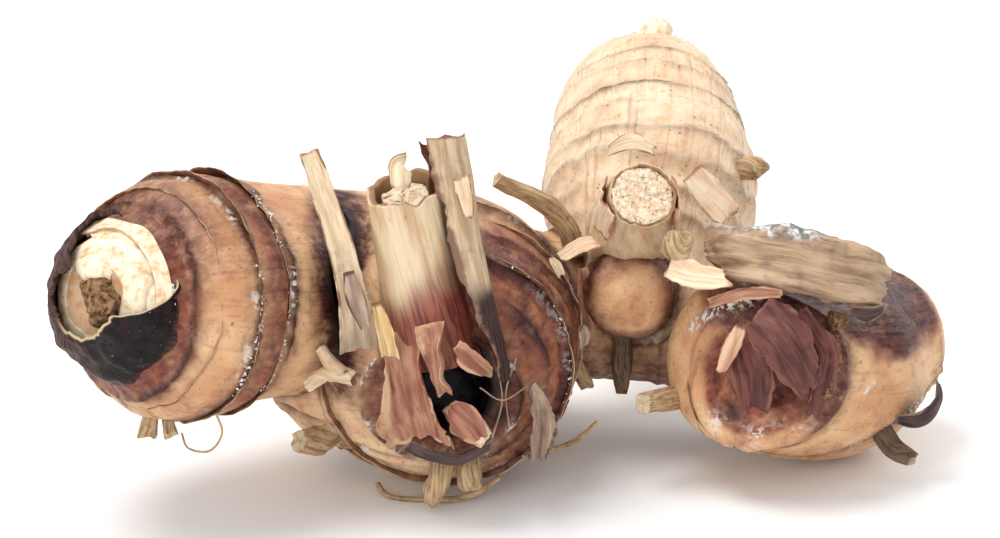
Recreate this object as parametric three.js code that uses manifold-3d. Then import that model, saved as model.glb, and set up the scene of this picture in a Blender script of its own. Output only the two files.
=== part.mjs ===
// A galangal root: a knobbly rhizome of four fingers, with cut stalks, dry leaf sheaths, torn
// scales and root stubs growing from it. Millimetres, +X along the row of fingers, +Y towards the
// rear finger, +Z up. It rests on z = 0 on flats under its middle and right fingers and its
// parent stump, and the origin is the middle of its base.
import * as THREE from "three";
import { mergeVertices } from "three/addons/utils/BufferGeometryUtils.js";
import Module from "manifold-3d";

const wasm = await Module();
wasm.setup();

// Driving dimensions, in millimetres.
const GAP = 0.3; // left between the rhizome and what grows on it
const MIDDLE_OF_BASE = [2.1, 10.3, 0]; // where the origin lies in the coordinates used below
const SCALE = 0.9; // thickness of a leaf scale's torn rim
const DRY = 0.8; // thickness of a dry sheath

// How finely the round shapes are divided.
const LOBE_SIDES = 24;
const LOBE_STEPS = 8;
const CAP_STEPS = 4;
const TUBE_SIDES = 12;
const STRIP_STEPS = 8;

// --- solids -------------------------------------------------------------------------------------

// The closed solid that a three.js geometry bounds, whichever way its faces were wound.
function solid(geometry) {
  const bare = new THREE.BufferGeometry();
  bare.setAttribute("position", geometry.getAttribute("position"));
  bare.setIndex(geometry.index);
  const merged = mergeVertices(bare, 1e-4);
  const corners = Array.from(merged.index.array);
  const wound = (triVerts) =>
    new wasm.Manifold(
      new wasm.Mesh({
        numProp: 3,
        vertProperties: merged.attributes.position.array,
        triVerts: new Uint32Array(triVerts),
      }),
    );
  const first = wound(corners);
  return first.volume() > 0 ? first : wound(corners.reverse());
}

// Moves every vertex of a geometry to where map says.
function deform(geometry, map) {
  const position = geometry.getAttribute("position");
  const point = new THREE.Vector3();
  for (let i = 0; i < position.count; i++) {
    const moved = map(point.fromBufferAttribute(position, i));
    position.setXYZ(i, moved.x, moved.y, moved.z);
  }
  return geometry;
}

const vector = (p) => new THREE.Vector3(...p);
const spline = (points) => new THREE.CatmullRomCurve3(points.map(vector), false, "catmullrom", 0.5);

// A number that runs smoothly through a list of values as t goes from 0 to 1.
function through(values, t) {
  if (values.length === 1) return values[0];
  return spline(values.map((v) => [v, 0, 0])).getPoint(t).x;
}

// The frame at t on a curve: its point, its direction, and two axes across it. The axis side
// points as near to facing as it can.
function frameAt(curve, t, facing) {
  const at = curve.getPoint(t);
  const along = curve.getTangent(t);
  const side = vector(facing).addScaledVector(along, -vector(facing).dot(along)).normalize();
  const across = new THREE.Vector3().crossVectors(side, along);
  return { at, along, side, across };
}

// --- fingers ------------------------------------------------------------------------------------

// The round section at s along a finger: 0 to 1 runs through its stations of [x, y, z, radius],
// -1 to 0 and 1 to 2 run over its rounded ends. Each cap is as long as its share of the radius.
function section({ stations, caps = [1, 1], facing = [0, 0, 1] }, s, height) {
  const curve = spline(stations.map((station) => station.slice(0, 3)));
  const t = Math.min(1, Math.max(0, s));
  const { at, along, side, across } = frameAt(curve, t, facing);
  const turn = (s - t) * (Math.PI / 2);
  const radius = through(stations.map((station) => station[3]), t);
  const cap = radius * (s < 0 ? caps[0] : caps[1]) + height;
  return {
    centre: at.addScaledVector(along, Math.sin(turn) * cap),
    radius: Math.abs(s - t) === 1 ? 0 : (radius + height) * Math.cos(turn),
    side,
    across,
  };
}

// The point at s along a finger and angle round it, at a height over its skin. Angle 0 is up.
function overSkin(finger, s, angle, height) {
  const { centre, radius, side, across } = section(finger, s, height);
  return centre
    .addScaledVector(side, radius * Math.cos(angle))
    .addScaledVector(across, radius * Math.sin(angle));
}

// A body turned round a finger's axis. Its profile is a list of [s, height].
function turned(finger, profile, sides = LOBE_SIDES) {
  const sections = profile.map(([s, height]) => section(finger, s, height));
  const radius = (i) => (sections[i].radius === 0 ? 0 : 1);
  const lathe = new THREE.LatheGeometry(profile.map((p, i) => new THREE.Vector2(radius(i), i)), sides);
  return solid(
    deform(lathe, (p) => {
      const { centre, radius: r, side, across } = sections[Math.round(p.y)];
      return centre.clone().addScaledVector(side, r * p.x).addScaledVector(across, r * p.z);
    }),
  );
}

// The whole finger, with all its skin raised by grow.
function fingerSolid(finger, grow = 0, sides = LOBE_SIDES) {
  const profile = [];
  for (let i = -CAP_STEPS; i <= LOBE_STEPS + CAP_STEPS; i++) {
    const s = i < 0 ? i / CAP_STEPS : i <= LOBE_STEPS ? i / LOBE_STEPS : 1 + (i - LOBE_STEPS) / CAP_STEPS;
    profile.push([s, grow]);
  }
  return turned(finger, profile, sides);
}

// A ring of torn scale that hugs a finger from s = from to s = to, with room left round it.
function scaleRing(finger, from, to, room = 0) {
  const low = GAP - room;
  const high = GAP + SCALE + room;
  return turned(finger, [[from, low], [to, low], [to, high], [from, high], [from, low]]);
}

// A scale that covers part of a finger: s and angle (in degrees) each run over a range, and
// lift says how far each end of the s range stands off the skin.
function skinScale(finger, { s, angle, lift, thickness }) {
  const box = new THREE.BoxGeometry(1, 1, 1, 12, 1, 5);
  return solid(
    deform(box, (p) => {
      const share = p.z + 0.5;
      const height = lift[0] + (lift[1] - lift[0]) * share ** 2 + (p.y + 0.5) * thickness;
      const turn = THREE.MathUtils.degToRad(angle[0] + (angle[1] - angle[0]) * (p.x + 0.5));
      return overSkin(finger, s[0] + (s[1] - s[0]) * share, turn, height);
    }),
  );
}

// --- what grows on them -------------------------------------------------------------------------

// A round stem or root with flat ends, through stations of [x, y, z, radius].
function stem(stations, sides = TUBE_SIDES) {
  const facing = [1, 0, 0.2];
  const steps = 2 * (stations.length - 1);
  const profile = [[-1, 0]];
  for (let i = 0; i <= steps; i++) profile.push([i / steps, 0]);
  profile.push([2, 0]);
  return turned({ stations, caps: [0, 0], facing }, profile, sides);
}

// A dry strip along a route. Its face points as near to facing as it can, and its cross-section
// bends round by curl radians, with the hollow side on its face.
function strip({ route, widths, facing, curls = [0], thickness = DRY, steps = STRIP_STEPS }) {
  const curve = spline(route);
  const around = Math.max(2, Math.ceil(Math.max(...curls.map(Math.abs)) * 2.5));
  const box = new THREE.BoxGeometry(1, 1, 1, around, 1, steps);
  return solid(
    deform(box, (p) => {
      const t = p.z + 0.5;
      const { at, side, across } = frameAt(curve, t, facing);
      const width = through(widths, t);
      const curl = Math.max(0.01, through(curls, t));
      const bend = width / curl;
      const reach = bend - p.y * thickness;
      return at
        .addScaledVector(across, reach * Math.sin(p.x * curl))
        .addScaledVector(side, bend - reach * Math.cos(p.x * curl));
    }),
  );
}

// --- the rhizome --------------------------------------------------------------------------------

const LEFT = {
  stations: [
    [-12.6, 8, 25.3, 17],
    [-27.9, 0, 29.6, 15.8],
    [-42.5, -11.5, 33, 17.8],
    [-47.9, -17, 34.2, 18.2],
    [-52.4, -21.8, 35.6, 16],
    [-55.6, -25.8, 37, 11.4],
  ],
  caps: [0.8, 0.4],
};
const MIDDLE = {
  stations: [
    [-5, 16, 21, 16],
    [-9.4, 2, 22.2, 22.8],
    [-8.5, -8, 21.8, 20.5],
  ],
  caps: [0.8, 0.65],
};
const HEEL = {
  stations: [
    [-9.4, 2, 21, 20],
    [-21, 1, 19.5, 16],
  ],
  caps: [0.5, 1],
};
const BRIDGE = {
  stations: [
    [-4, 12, 22, 15],
    [6, 15, 21.5, 12.5],
    [16.2, 18, 20.5, 11.2],
    [29, 18, 18.5, 11],
    [45, 13, 16, 12.5],
  ],
  caps: [0.5, 0.5],
};
const RIGHT = {
  stations: [
    [34.6, -7.5, 20.8, 12.7],
    [43.5, -0.5, 18.2, 15.2],
    [53, 8, 15.3, 15.8],
    [60.5, 14.5, 16, 12.2],
  ],
  caps: [0.4, 0.85],
};
const REAR = {
  stations: [
    [22.5, 16, 24, 13],
    [24.2, 28, 34.5, 17.6],
    [24.6, 39, 42, 16.2],
    [24.5, 46, 46.5, 14.6],
    [24.5, 50.5, 49.5, 12],
  ],
  caps: [0.8, 0.3],
};
const BUD = {
  stations: [
    [21.5, 12, 25.5, 8],
    [20.3, 4.5, 28, 7],
  ],
  caps: [0.8, 0.85],
};
const PARENT_STUMP = {
  stations: [
    [-5, 14, 21, 14],
    [-9, 28, 14, 12],
    [-12, 44, 12, 12.6],
  ],
  caps: [0.6, 0.12],
};
const FINGERS = [LEFT, MIDDLE, HEEL, BRIDGE, RIGHT, REAR, BUD, PARENT_STUMP];

// Places where the flesh has shrunk away: [x, y, z] centre, [x, y, z] radii and a turn about Y.
const HOLLOWS = [
  { centre: [-7.5, -21, 20.5], radii: [6.2, 7, 7.2], turn: 0.4 }, // torn end of the middle finger
  { centre: [-24.3, -11, 38], radii: [1.5, 8, 11], turn: 0 }, // crease beside the left finger
  { centre: [40.5, -17, 24], radii: [8.5, 3.4, 8], turn: 0 }, // scar on the right finger
];

function hollow({ centre, radii, turn }) {
  const ball = new THREE.SphereGeometry(1, 14, 8);
  ball.scale(...radii);
  ball.rotateY(turn);
  ball.translate(...centre);
  return solid(ball);
}

// All that lies lower than height.
function below(height) {
  const depth = 60;
  const slab = new THREE.BoxGeometry(300, 300, depth);
  slab.translate(0, 0, height - depth / 2);
  return solid(slab);
}

const union = (solids) => solids.reduce((a, b) => a.add(b));
const rhizome = HOLLOWS.map(hollow).reduce(
  (flesh, cut) => flesh.subtract(cut),
  union(FINGERS.map((finger) => fingerSolid(finger))).subtract(below(0)),
);

// The space that the rhizome needs, which all that grows on it stays out of. A piece that hugs one
// finger at its own height only has to clear the others.
const room = new Map(FINGERS.map((finger) => [finger, fingerSolid(finger, GAP)]));
const taken = union([...room.values()]);
const takenBeside = (hugged) =>
  union(FINGERS.filter((finger) => finger !== hugged).map((finger) => room.get(finger)));

// --- assembly -----------------------------------------------------------------------------------

const finish = (color, roughness) => new THREE.MeshStandardMaterial({ color, roughness, metalness: 0 });
const COLOURS = {
  skin: [0xc79668, 0.5],
  cream: [0xe9dcc0, 0.45],
  dryLeaf: [0xcdb389, 0.8],
  brownScale: [0x7d4a36, 0.6],
  darkScale: [0x3a1a1a, 0.4],
  root: [0x9a7b5c, 0.85],
};

const root = new THREE.Group();
root.position.set(...MIDDLE_OF_BASE.map((value) => -value));

function addMesh(name, body, colour) {
  const { vertProperties, triVerts } = body.getMesh();
  const geometry = new THREE.BufferGeometry();
  geometry.setAttribute("position", new THREE.BufferAttribute(vertProperties, 3));
  geometry.setIndex(new THREE.BufferAttribute(triVerts, 1));
  const mesh = new THREE.Mesh(geometry, finish(...COLOURS[colour]));
  mesh.name = name;
  root.add(mesh);
}

// Adds a piece that grows on the rhizome, cut back to clear it, the floor and any neighbours.
function grow(name, colour, body, neighbours = []) {
  const cleared = neighbours.reduce((left, other) => left.subtract(other), body);
  addMesh(name, cleared.subtract(taken).subtract(below(0)), colour);
}

// Adds a piece that hugs one finger.
function hug(name, colour, finger, body) {
  addMesh(name, body.subtract(takenBeside(finger)).subtract(below(0)), colour);
}

addMesh("rhizome", rhizome, "skin");

// Left finger: the rims of three leaf scales, then the bud with the scale that wraps it.
hug("left_scale_outer", "brownScale", LEFT, scaleRing(LEFT, 0.39, 0.45));
hug("left_scale_middle", "brownScale", LEFT, scaleRing(LEFT, 0.585, 0.63));
hug("left_scale_inner", "brownScale", LEFT, scaleRing(LEFT, 0.79, 0.82));
hug(
  "left_bud_wrap",
  "darkScale",
  LEFT,
  skinScale(LEFT, { s: [0.86, 1.66], angle: [100, 330], lift: [0.4, 3.4], thickness: 1.3 }),
);
hug(
  "left_bud_scale",
  "cream",
  LEFT,
  skinScale(LEFT, { s: [1.22, 1.66], angle: [-27, 95], lift: [0.4, 0.6], thickness: 1.1 }),
);
hug(
  "left_bud",
  "cream",
  LEFT,
  turned(LEFT, [[2, GAP], [1.72, GAP], [1.74, 1.4], [1.87, 2], [2, 2]], 16),
);
hug(
  "left_bud_plug",
  "root",
  LEFT,
  turned(LEFT, [[2, 2.4], [1.87, 2.4], [1.88, 4], [1.94, 4.9], [2, 4.6]], 10),
);
const ROUND_MIDDLE_SCALE = scaleRing(LEFT, 0.575, 0.64, GAP);
grow(
  "left_root_front",
  "root",
  stem([[-52, -19, 18.5, 1.2], [-52.6, -20.4, 15.6, 1.3], [-53.2, -21.4, 12.4, 1.5]], 8),
  [ROUND_MIDDLE_SCALE],
);
grow(
  "left_root_back",
  "root",
  stem([[-49.8, -17.6, 18, 1], [-50, -19, 15.4, 1.1], [-49.4, -20.4, 12.2, 1.2]], 8),
  [ROUND_MIDDLE_SCALE],
);
grow(
  "left_root_hair",
  "root",
  stem(
    [
      [-47.6, -22.8, 14.6, 0.35], [-46.4, -25.4, 13.2, 0.35], [-43, -28, 13.8, 0.35],
      [-41, -28.8, 16.8, 0.35], [-41.8, -28.6, 20, 0.35],
    ],
    6,
  ),
);

// Middle finger: two scale rims and the cut stalk, a sheath round a core.
hug("middle_scale_outer", "brownScale", MIDDLE, scaleRing(MIDDLE, 0.84, 0.88));
hug("middle_scale_inner", "brownScale", MIDDLE, scaleRing(MIDDLE, 1.24, 1.28));
const STALK = [
  [-9.6, -16.5, 26, 6.9], [-10.8, -17, 32, 6.7], [-13, -16.6, 44, 6.2], [-14.4, -16, 52.6, 5.9],
];
const BORE = [[-13.3, -16.5, 46, 4.4], [-14.8, -16, 56, 4.4]];
const CORE = [[-13.4, -16.5, 46.4, 4.05], [-14.3, -16.2, 51.6, 4.05]];
const ROUND_STALK = stem(STALK.map(([x, y, z, radius]) => [x, y, z, radius + GAP]), 20);
grow("middle_stalk_sheath", "cream", stem(STALK, 20).subtract(stem(BORE, 14)), [
  scaleRing(MIDDLE, 1.23, 1.29, GAP),
]);
grow("middle_stalk_core", "cream", stem(CORE, 14));
grow(
  "middle_stalk_curl",
  "dryLeaf",
  strip({
    route: [[-14.6, -22.6, 53.4], [-14.5, -21, 55.6], [-14.3, -18.5, 56.2]],
    widths: [3, 3.4, 2.4],
    facing: [0, 1, 0.3],
  }),
);

// Dry strips in front of the crease between the left and middle fingers.
const LEFT_STRIP = {
  route: [
    [-28.4, -15, 56.2], [-26.3, -17, 50.8], [-23.6, -20, 43.2], [-21.7, -22, 35.3],
    [-20.4, -23.8, 27.2],
  ],
  widths: [3, 3.6, 4, 4.6, 6.4],
  facing: [0.2, -1, 0.3],
  curls: [0.9, 0.6, 0.4],
};
grow("left_strip", "dryLeaf", strip(LEFT_STRIP));
grow(
  "left_strip_tongue",
  "dryLeaf",
  strip({
    route: [[-22.3, -22.8, 40.2], [-21, -24.8, 36], [-19.6, -26, 32]],
    widths: [1.6, 2.4, 1],
    facing: [0.2, -1, 0.3],
  }),
);
grow(
  "left_strip_inner",
  "dryLeaf",
  strip({
    route: [[-18.4, -22.8, 35.4], [-17, -25.2, 31], [-16.2, -25.4, 26.6]],
    widths: [1.6, 2.4, 2.6],
    facing: [0, -1, 0.3],
  }),
);
grow(
  "forked_fibre",
  "root",
  union([
    stem([[-28.7, -20.5, 21.4, 1.1], [-25.4, -21.6, 23.5, 1.2], [-20.6, -23, 22.9, 0.9]], 8),
    stem([[-26.6, -20, 27.2, 1.1], [-25.1, -21.4, 25.2, 1], [-22.6, -22.8, 23.4, 1]], 8),
  ]),
);

// The tall rolled sheath to the right of the stalk.
grow(
  "tall_sheath",
  "dryLeaf",
  strip({
    route: [
      [-5.6, -13, 58.4], [-4.3, -15.5, 51.6], [-2.8, -19, 43.4], [-1.2, -21.6, 35], [0.4, -22.6, 29.2],
      [1.4, -22.9, 23],
    ],
    widths: [14, 13, 11, 9.5, 8, 6],
    facing: [-0.35, -1, 0.1],
    curls: [4.4, 4, 3, 1.8, 1.2, 0.9],
    steps: 12,
  }),
  [ROUND_STALK],
);
grow(
  "tall_sheath_fold",
  "dryLeaf",
  strip({
    route: [[-5.6, -20.6, 54], [-4.9, -21.4, 51], [-4.2, -22.8, 47.6]],
    widths: [3, 2.4, 1.6],
    facing: [-0.35, -1, 0.1],
    curls: [1.2],
  }),
);

// Torn leaf bases round the hollow end of the middle finger.
grow(
  "torn_base_wide",
  "brownScale",
  strip({
    route: [[-14, -22.6, 31], [-13, -25.2, 25], [-12, -25, 18.4], [-11.8, -23, 14.4]],
    widths: [4, 5.6, 5.6, 4],
    facing: [-0.3, -1, 0],
    curls: [1.2],
  }),
  [ROUND_STALK],
);
grow(
  "torn_base_folded",
  "brownScale",
  strip({
    route: [[-10, -26.2, 33.4], [-9, -28, 28], [-8, -26.4, 21.4]],
    widths: [3, 3.6, 2.6],
    facing: [-0.5, -1, 0],
    curls: [1.6, 2, 1.4],
  }),
);
grow(
  "torn_base_lip",
  "dryLeaf",
  strip({
    route: [[-6.6, -26.4, 29.8], [-4.4, -27, 28], [-1, -25.6, 24.2]],
    widths: [1.2, 2.6, 1],
    facing: [0, -1, 0.4],
    curls: [0.8],
  }),
);
grow(
  "torn_base_red",
  "brownScale",
  strip({
    route: [[-7, -25.6, 20.4], [-5, -26.6, 18.4], [-2.6, -24.8, 14.4]],
    widths: [1.6, 4.2, 2],
    facing: [0.2, -1, 0],
    curls: [0.6],
  }),
);
grow(
  "torn_base_pale",
  "dryLeaf",
  strip({
    route: [[-7.6, -23.6, 19.4], [-4.8, -23.8, 16.4], [-1.6, -22.4, 13.2]],
    widths: [2, 3.6, 2.4],
    facing: [0.1, -1, -0.2],
  }),
);
grow(
  "torn_base_pad",
  "darkScale",
  strip({
    route: [[-14.4, -22, 12.4], [-10.5, -22.4, 10.9], [-5.3, -21.8, 10.5], [-0.6, -19.6, 11.6]],
    widths: [2, 2.8, 2.8, 2],
    facing: [0, -1, -0.6],
  }),
);
grow(
  "hanging_ribbon",
  "dryLeaf",
  strip({
    route: [[4, -23.6, 23.4], [5.6, -21.6, 19], [6.6, -18.6, 14], [5.4, -15, 6]],
    widths: [2, 3.2, 3.4, 2],
    facing: [0.6, -1, 0],
    curls: [0.8],
  }),
);

// Root stubs under the middle finger.
grow(
  "front_root_left",
  "root",
  stem([[-8.3, -14, 9.4, 1.8], [-9, -18.2, 6, 1.7], [-10, -18.4, 3.4, 1.6], [-10.4, -17.4, 1.9, 1.5]]),
);
grow(
  "front_root_right",
  "root",
  stem([[-4.9, -14, 9, 1.8], [-4.6, -18, 6, 1.7], [-4.4, -18.6, 3.8, 1.6]]),
);
grow("left_root", "root", stem([[-25, -7, 11, 2], [-28, -10.5, 8.6, 2.2], [-31.6, -13.6, 10, 1.6]]));
grow(
  "floor_fibre",
  "root",
  stem(
    [
      [0, -14, 4, 0.5], [-4.6, -14.6, 1.2, 0.5], [-10.8, -14.6, 0.5, 0.5], [-17, -13, 0.5, 0.5],
      [-19, -9, 0.9, 0.5],
    ],
    6,
  ),
);
grow(
  "root_stick",
  "root",
  stem([[4.5, -8.8, 5.2, 0.5], [11.2, -6.2, 6.7, 0.45], [15.3, -4.5, 9.6, 0.4]], 6),
);
grow(
  "top_root",
  "root",
  stem([[-1, 3.5, 46.6, 1.4], [5, 5.8, 43, 1.4], [9.6, 8.6, 38.6, 1.5], [12, 10.5, 32.5, 1.7]], 8),
);
grow(
  "flake_upper",
  "dryLeaf",
  strip({
    route: [[8, -6.6, 37.2], [9, -7, 35.4], [9.8, -7.6, 33.6]],
    widths: [1.2, 2.2, 1],
    facing: [1, -0.6, 0.4],
    steps: 4,
  }),
);
grow(
  "flake_lower",
  "dryLeaf",
  strip({
    route: [[12.6, -9, 27], [12.9, -9.4, 25], [12.6, -9.6, 23]],
    widths: [2, 3, 1.6],
    facing: [1, -0.6, 0],
    steps: 4,
  }),
);
grow(
  "ragged_root",
  "root",
  stem([[12, 6.5, 15.5, 1.3], [13.4, 5.4, 12.6, 1.2], [14.2, 4.6, 11, 0.8]], 8),
);

// Centre: the cut stalk, the sheaths round it and the root under the bud.
const CENTRE_STALK = [[20.6, 9, 37, 7], [21.2, 3, 41.3, 5.8], [21.8, -3.6, 46.2, 5]];
const ROUND_CENTRE_STALK = stem([[20.6, 9, 37, 7.3], [21.2, 3, 41.3, 6.1], [22.2, -8, 49.5, 5]], 18);
grow("centre_stalk", "cream", stem(CENTRE_STALK, 18));
grow(
  "centre_stalk_sheath",
  "dryLeaf",
  strip({
    route: [[27.4, 2.5, 41.2], [27.5, -1.6, 44.2], [27.6, -5, 46.8]],
    widths: [5, 7, 6.4],
    facing: [-1, 0, -0.1],
    curls: [1.1],
  }),
  [ROUND_CENTRE_STALK],
);
grow(
  "centre_bract",
  "dryLeaf",
  strip({
    route: [[16.6, 5.6, 50.2], [20.3, 4.4, 52], [24.2, 4.6, 50.6]],
    widths: [1.6, 4, 2],
    facing: [0, -0.6, 1],
    steps: 6,
  }),
  [ROUND_CENTRE_STALK],
);
grow(
  "pleated_sheath",
  "dryLeaf",
  strip({
    route: [[29.6, 9, 46], [32.4, 8.4, 42.6], [36.4, 7.6, 38.6]],
    widths: [4, 5.4, 4.6],
    facing: [0.5, -1, 0.6],
    curls: [1],
  }),
);
grow(
  "centre_membrane",
  "dryLeaf",
  strip({
    route: [[9.4, 0.8, 34.6], [12.6, 4, 35.6], [16.4, 4.6, 36]],
    widths: [1.6, 2.6, 2],
    facing: [0, -0.6, 1],
    steps: 6,
  }),
  [ROUND_CENTRE_STALK],
);
grow(
  "centre_fold",
  "brownScale",
  strip({
    route: [[13, 5.6, 31.6], [13.6, 3.6, 26.6], [14.8, 3.4, 21.6]],
    widths: [1.6, 3, 1.4],
    facing: [-0.6, -1, 0],
    steps: 6,
  }),
);
grow(
  "centre_root",
  "root",
  stem([[19.8, 7, 22, 1.4], [19.5, 5.4, 15.6, 1.5], [19.2, 4.4, 10.6, 0.9]], 10),
);

// The dried leaf that lies across the right finger.
const LEAF = {
  route: [
    [30.6, -6.5, 38.6], [34, -9, 39.6], [39.2, -12.5, 40], [45.1, -14, 39.6], [50.4, -13.6, 38.2],
    [55.4, -11.4, 36.6], [60.2, -6.6, 33.6],
  ],
  widths: [6, 8.2, 9.4, 9.6, 9, 8.4, 6],
  facing: [0, 1, -1.1],
  curls: [1.5, 1.9, 2, 1.8, 1.5, 1.2],
  steps: 12,
};
grow("dry_leaf", "dryLeaf", strip(LEAF));
grow(
  "dry_leaf_knob",
  "dryLeaf",
  stem([[25.4, -6.6, 39.8, 1.9], [27, -7.4, 39.3, 2.2], [28.9, -7.2, 38.6, 1.6]]),
  [ROUND_CENTRE_STALK],
);
grow(
  "dry_leaf_torn",
  "dryLeaf",
  strip({
    route: [[25.4, -8.8, 36.2], [29, -11, 35.6], [35, -14.8, 36.2]],
    widths: [2, 3, 1.2],
    facing: [-0.2, -1, 0.4],
  }),
);
grow(
  "dry_leaf_underfold",
  "darkScale",
  strip({
    route: [[52.4, -14.2, 31.2], [55.4, -14, 30.6], [58.6, -11.6, 30.8]],
    widths: [1, 2.6, 1.2],
    facing: [0, -1, -0.3],
    curls: [1],
  }),
);

// The scar on the right finger and its torn scales.
grow(
  "scar_flap",
  "darkScale",
  strip({
    route: [[38.2, -16.4, 31.4], [42.6, -19.8, 28], [46.6, -18.6, 20]],
    widths: [5, 9, 4.4],
    facing: [0.1, -1, 0.2],
    curls: [0.7],
  }),
);
grow(
  "scar_lip",
  "brownScale",
  strip({
    route: [[31, -12.2, 31.4], [36.4, -14.8, 33.9], [42.4, -15.2, 33.9]],
    widths: [1, 1.6, 1.2],
    facing: [0, -1, 0.6],
    curls: [0.6],
  }),
);
grow(
  "scar_flake",
  "dryLeaf",
  strip({
    route: [[36, -18.6, 30.4], [34.6, -19.6, 27], [33, -19, 22.9]],
    widths: [1.6, 2.6, 1.4],
    facing: [-0.3, -1, 0],
  }),
);
grow(
  "scar_crumb_low",
  "root",
  stem([[49.6, -14.8, 27.2, 1.1], [50.2, -16, 22.8, 1], [49.2, -16.6, 17.6, 1]], 8),
);
grow("scar_crumb_top", "root", stem([[50, -12.6, 28.8, 1], [53, -11.4, 28.2, 0.8]], 8));

// Root stubs of the right finger, and the two that show on the rear finger.
grow(
  "right_root_low",
  "root",
  stem([[29, -3, 13.4, 1.6], [25, -7.6, 14, 1.7], [21.8, -10.5, 14.8, 1.6]], 10),
);
grow(
  "right_root_curled",
  "root",
  strip({
    route: [[61, -4.4, 9.4], [65.6, -5.4, 9.6], [68.6, -3.4, 12.2], [69.2, -0.6, 15]],
    widths: [2.6, 3.6, 3, 1.8],
    facing: [-0.4, 1, 0.6],
    curls: [1.4],
  }),
);
grow(
  "right_root_torn",
  "root",
  stem([[58.6, -3, 9, 1.5], [61.4, -6.4, 5.8, 1.4], [64.4, -8.6, 4.6, 1]], 8),
);
grow(
  "rear_root",
  "root",
  stem([[37.6, 24, 42, 1.8], [41, 22.4, 42.6, 1.7], [42.2, 21.8, 41.6, 1.3]], 8),
);
grow(
  "rear_bud",
  "cream",
  stem([[24.4, 49, 56, 2.4], [26.2, 52.5, 58.4, 2.1], [28.4, 54, 57.6, 1.6]], 10),
);

export default root;
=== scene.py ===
"""The looks of a galangal root: its ringed skin, torn scales, dry sheaths and root stubs.

Lengths are in millimetres until a mesh is made. The fingers and routes are those of the CAD model.
"""

import itertools
import math

import bmesh
import bpy
import numpy as np
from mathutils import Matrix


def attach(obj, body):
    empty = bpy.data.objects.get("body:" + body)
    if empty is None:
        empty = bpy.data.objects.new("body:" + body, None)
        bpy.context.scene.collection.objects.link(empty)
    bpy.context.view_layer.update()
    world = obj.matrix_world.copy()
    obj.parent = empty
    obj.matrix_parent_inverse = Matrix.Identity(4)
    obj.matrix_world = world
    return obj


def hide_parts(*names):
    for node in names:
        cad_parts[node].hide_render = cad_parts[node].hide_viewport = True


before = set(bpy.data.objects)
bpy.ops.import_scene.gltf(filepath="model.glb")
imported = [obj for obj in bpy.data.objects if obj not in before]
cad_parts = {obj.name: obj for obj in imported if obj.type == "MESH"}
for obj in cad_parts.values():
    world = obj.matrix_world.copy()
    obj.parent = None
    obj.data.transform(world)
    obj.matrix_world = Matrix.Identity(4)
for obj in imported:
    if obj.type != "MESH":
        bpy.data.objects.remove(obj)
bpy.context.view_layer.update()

MM = 0.001
MIDDLE_OF_BASE = np.array([2.1, 10.3, 0.0])
SKIN_GRID = 0.62  # edge length of the rhizome's fine mesh
UP = (0, 0, 1)

# --- numbers ------------------------------------------------------------------------------------


def colour(code):
    """Linear red, green and blue of an sRGB code such as "c79668"."""
    srgb = np.array([int(code[i : i + 2], 16) / 255 for i in (0, 2, 4)])
    return np.where(srgb <= 0.04045, srgb / 12.92, ((srgb + 0.055) / 1.055) ** 2.4)


def noise(points, size, seed):
    """Smooth noise between about -1 and 1 that changes over size, one value for each point."""
    points = np.atleast_2d(np.asarray(points, float))
    cells = 48
    table = np.random.default_rng(seed).uniform(-1, 1, (cells, cells, cells))
    place = points / size + 1000
    low = np.floor(place).astype(int)
    share = place - low
    share = share * share * (3 - 2 * share)
    total = np.zeros(len(points))
    for corner in itertools.product((0, 1), repeat=3):
        weight = np.prod(np.where(corner, share, 1 - share), axis=1)
        x, y, z = ((low + corner) % cells).T
        total += weight * table[x, y, z]
    return total


def rough_noise(points, size, seed):
    """Noise with finer noise on top."""
    total = np.zeros(len(points))
    for octave in range(3):
        total += noise(points, size / 2**octave, seed + octave) / 2**octave
    return total


def line_noise(values, size, seed):
    """Noise along a line."""
    values = np.asarray(values, float)
    flat = np.zeros((values.size, 3))
    flat[:, 0] = values.ravel()
    return noise(flat, size, seed).reshape(values.shape)


def bump(distance, width):
    """1 at distance 0, falling off over width."""
    return np.exp(-((distance / width) ** 2))


def ramp(value, low, high):
    """0 below low, 1 above high, smooth between. Works downwards too."""
    share = np.clip((value - low) / (high - low), 0, 1)
    return share * share * (3 - 2 * share)


def unit(vectors):
    vectors = np.asarray(vectors, float)
    return vectors / np.maximum(np.linalg.norm(vectors, axis=-1, keepdims=True), 1e-9)


def along_curve(stations, t):
    """The points of the Catmull-Rom curve through stations at the shares t."""
    stations = np.asarray(stations, float)
    if len(stations) == 1:
        return np.repeat(stations, len(t), axis=0)
    first = 2 * stations[0] - stations[1]
    last = 2 * stations[-1] - stations[-2]
    p = np.vstack([first, stations, last])
    spans = len(stations) - 1
    place = np.clip(t, 0, 1) * spans
    i = np.minimum(place.astype(int), spans - 1)
    w = (place - i)[:, None]
    a, b, c, d = p[i], p[i + 1], p[i + 2], p[i + 3]
    return 0.5 * (2 * b + (c - a) * w + (2 * a - 5 * b + 4 * c - d) * w**2 + (3 * b - a - 3 * c + d) * w**3)


def length_of(route, places=50):
    """A route's length in millimetres, measured between so many places on it."""
    path = along_curve(route, np.linspace(0, 1, places))[:, :3]
    return np.linalg.norm(np.diff(path, axis=0), axis=1).sum()


def through(values, t):
    """A number that runs smoothly through the values, at the shares t."""
    return along_curve(np.asarray(values, float)[:, None], np.asarray(t, float))[:, 0]


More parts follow.
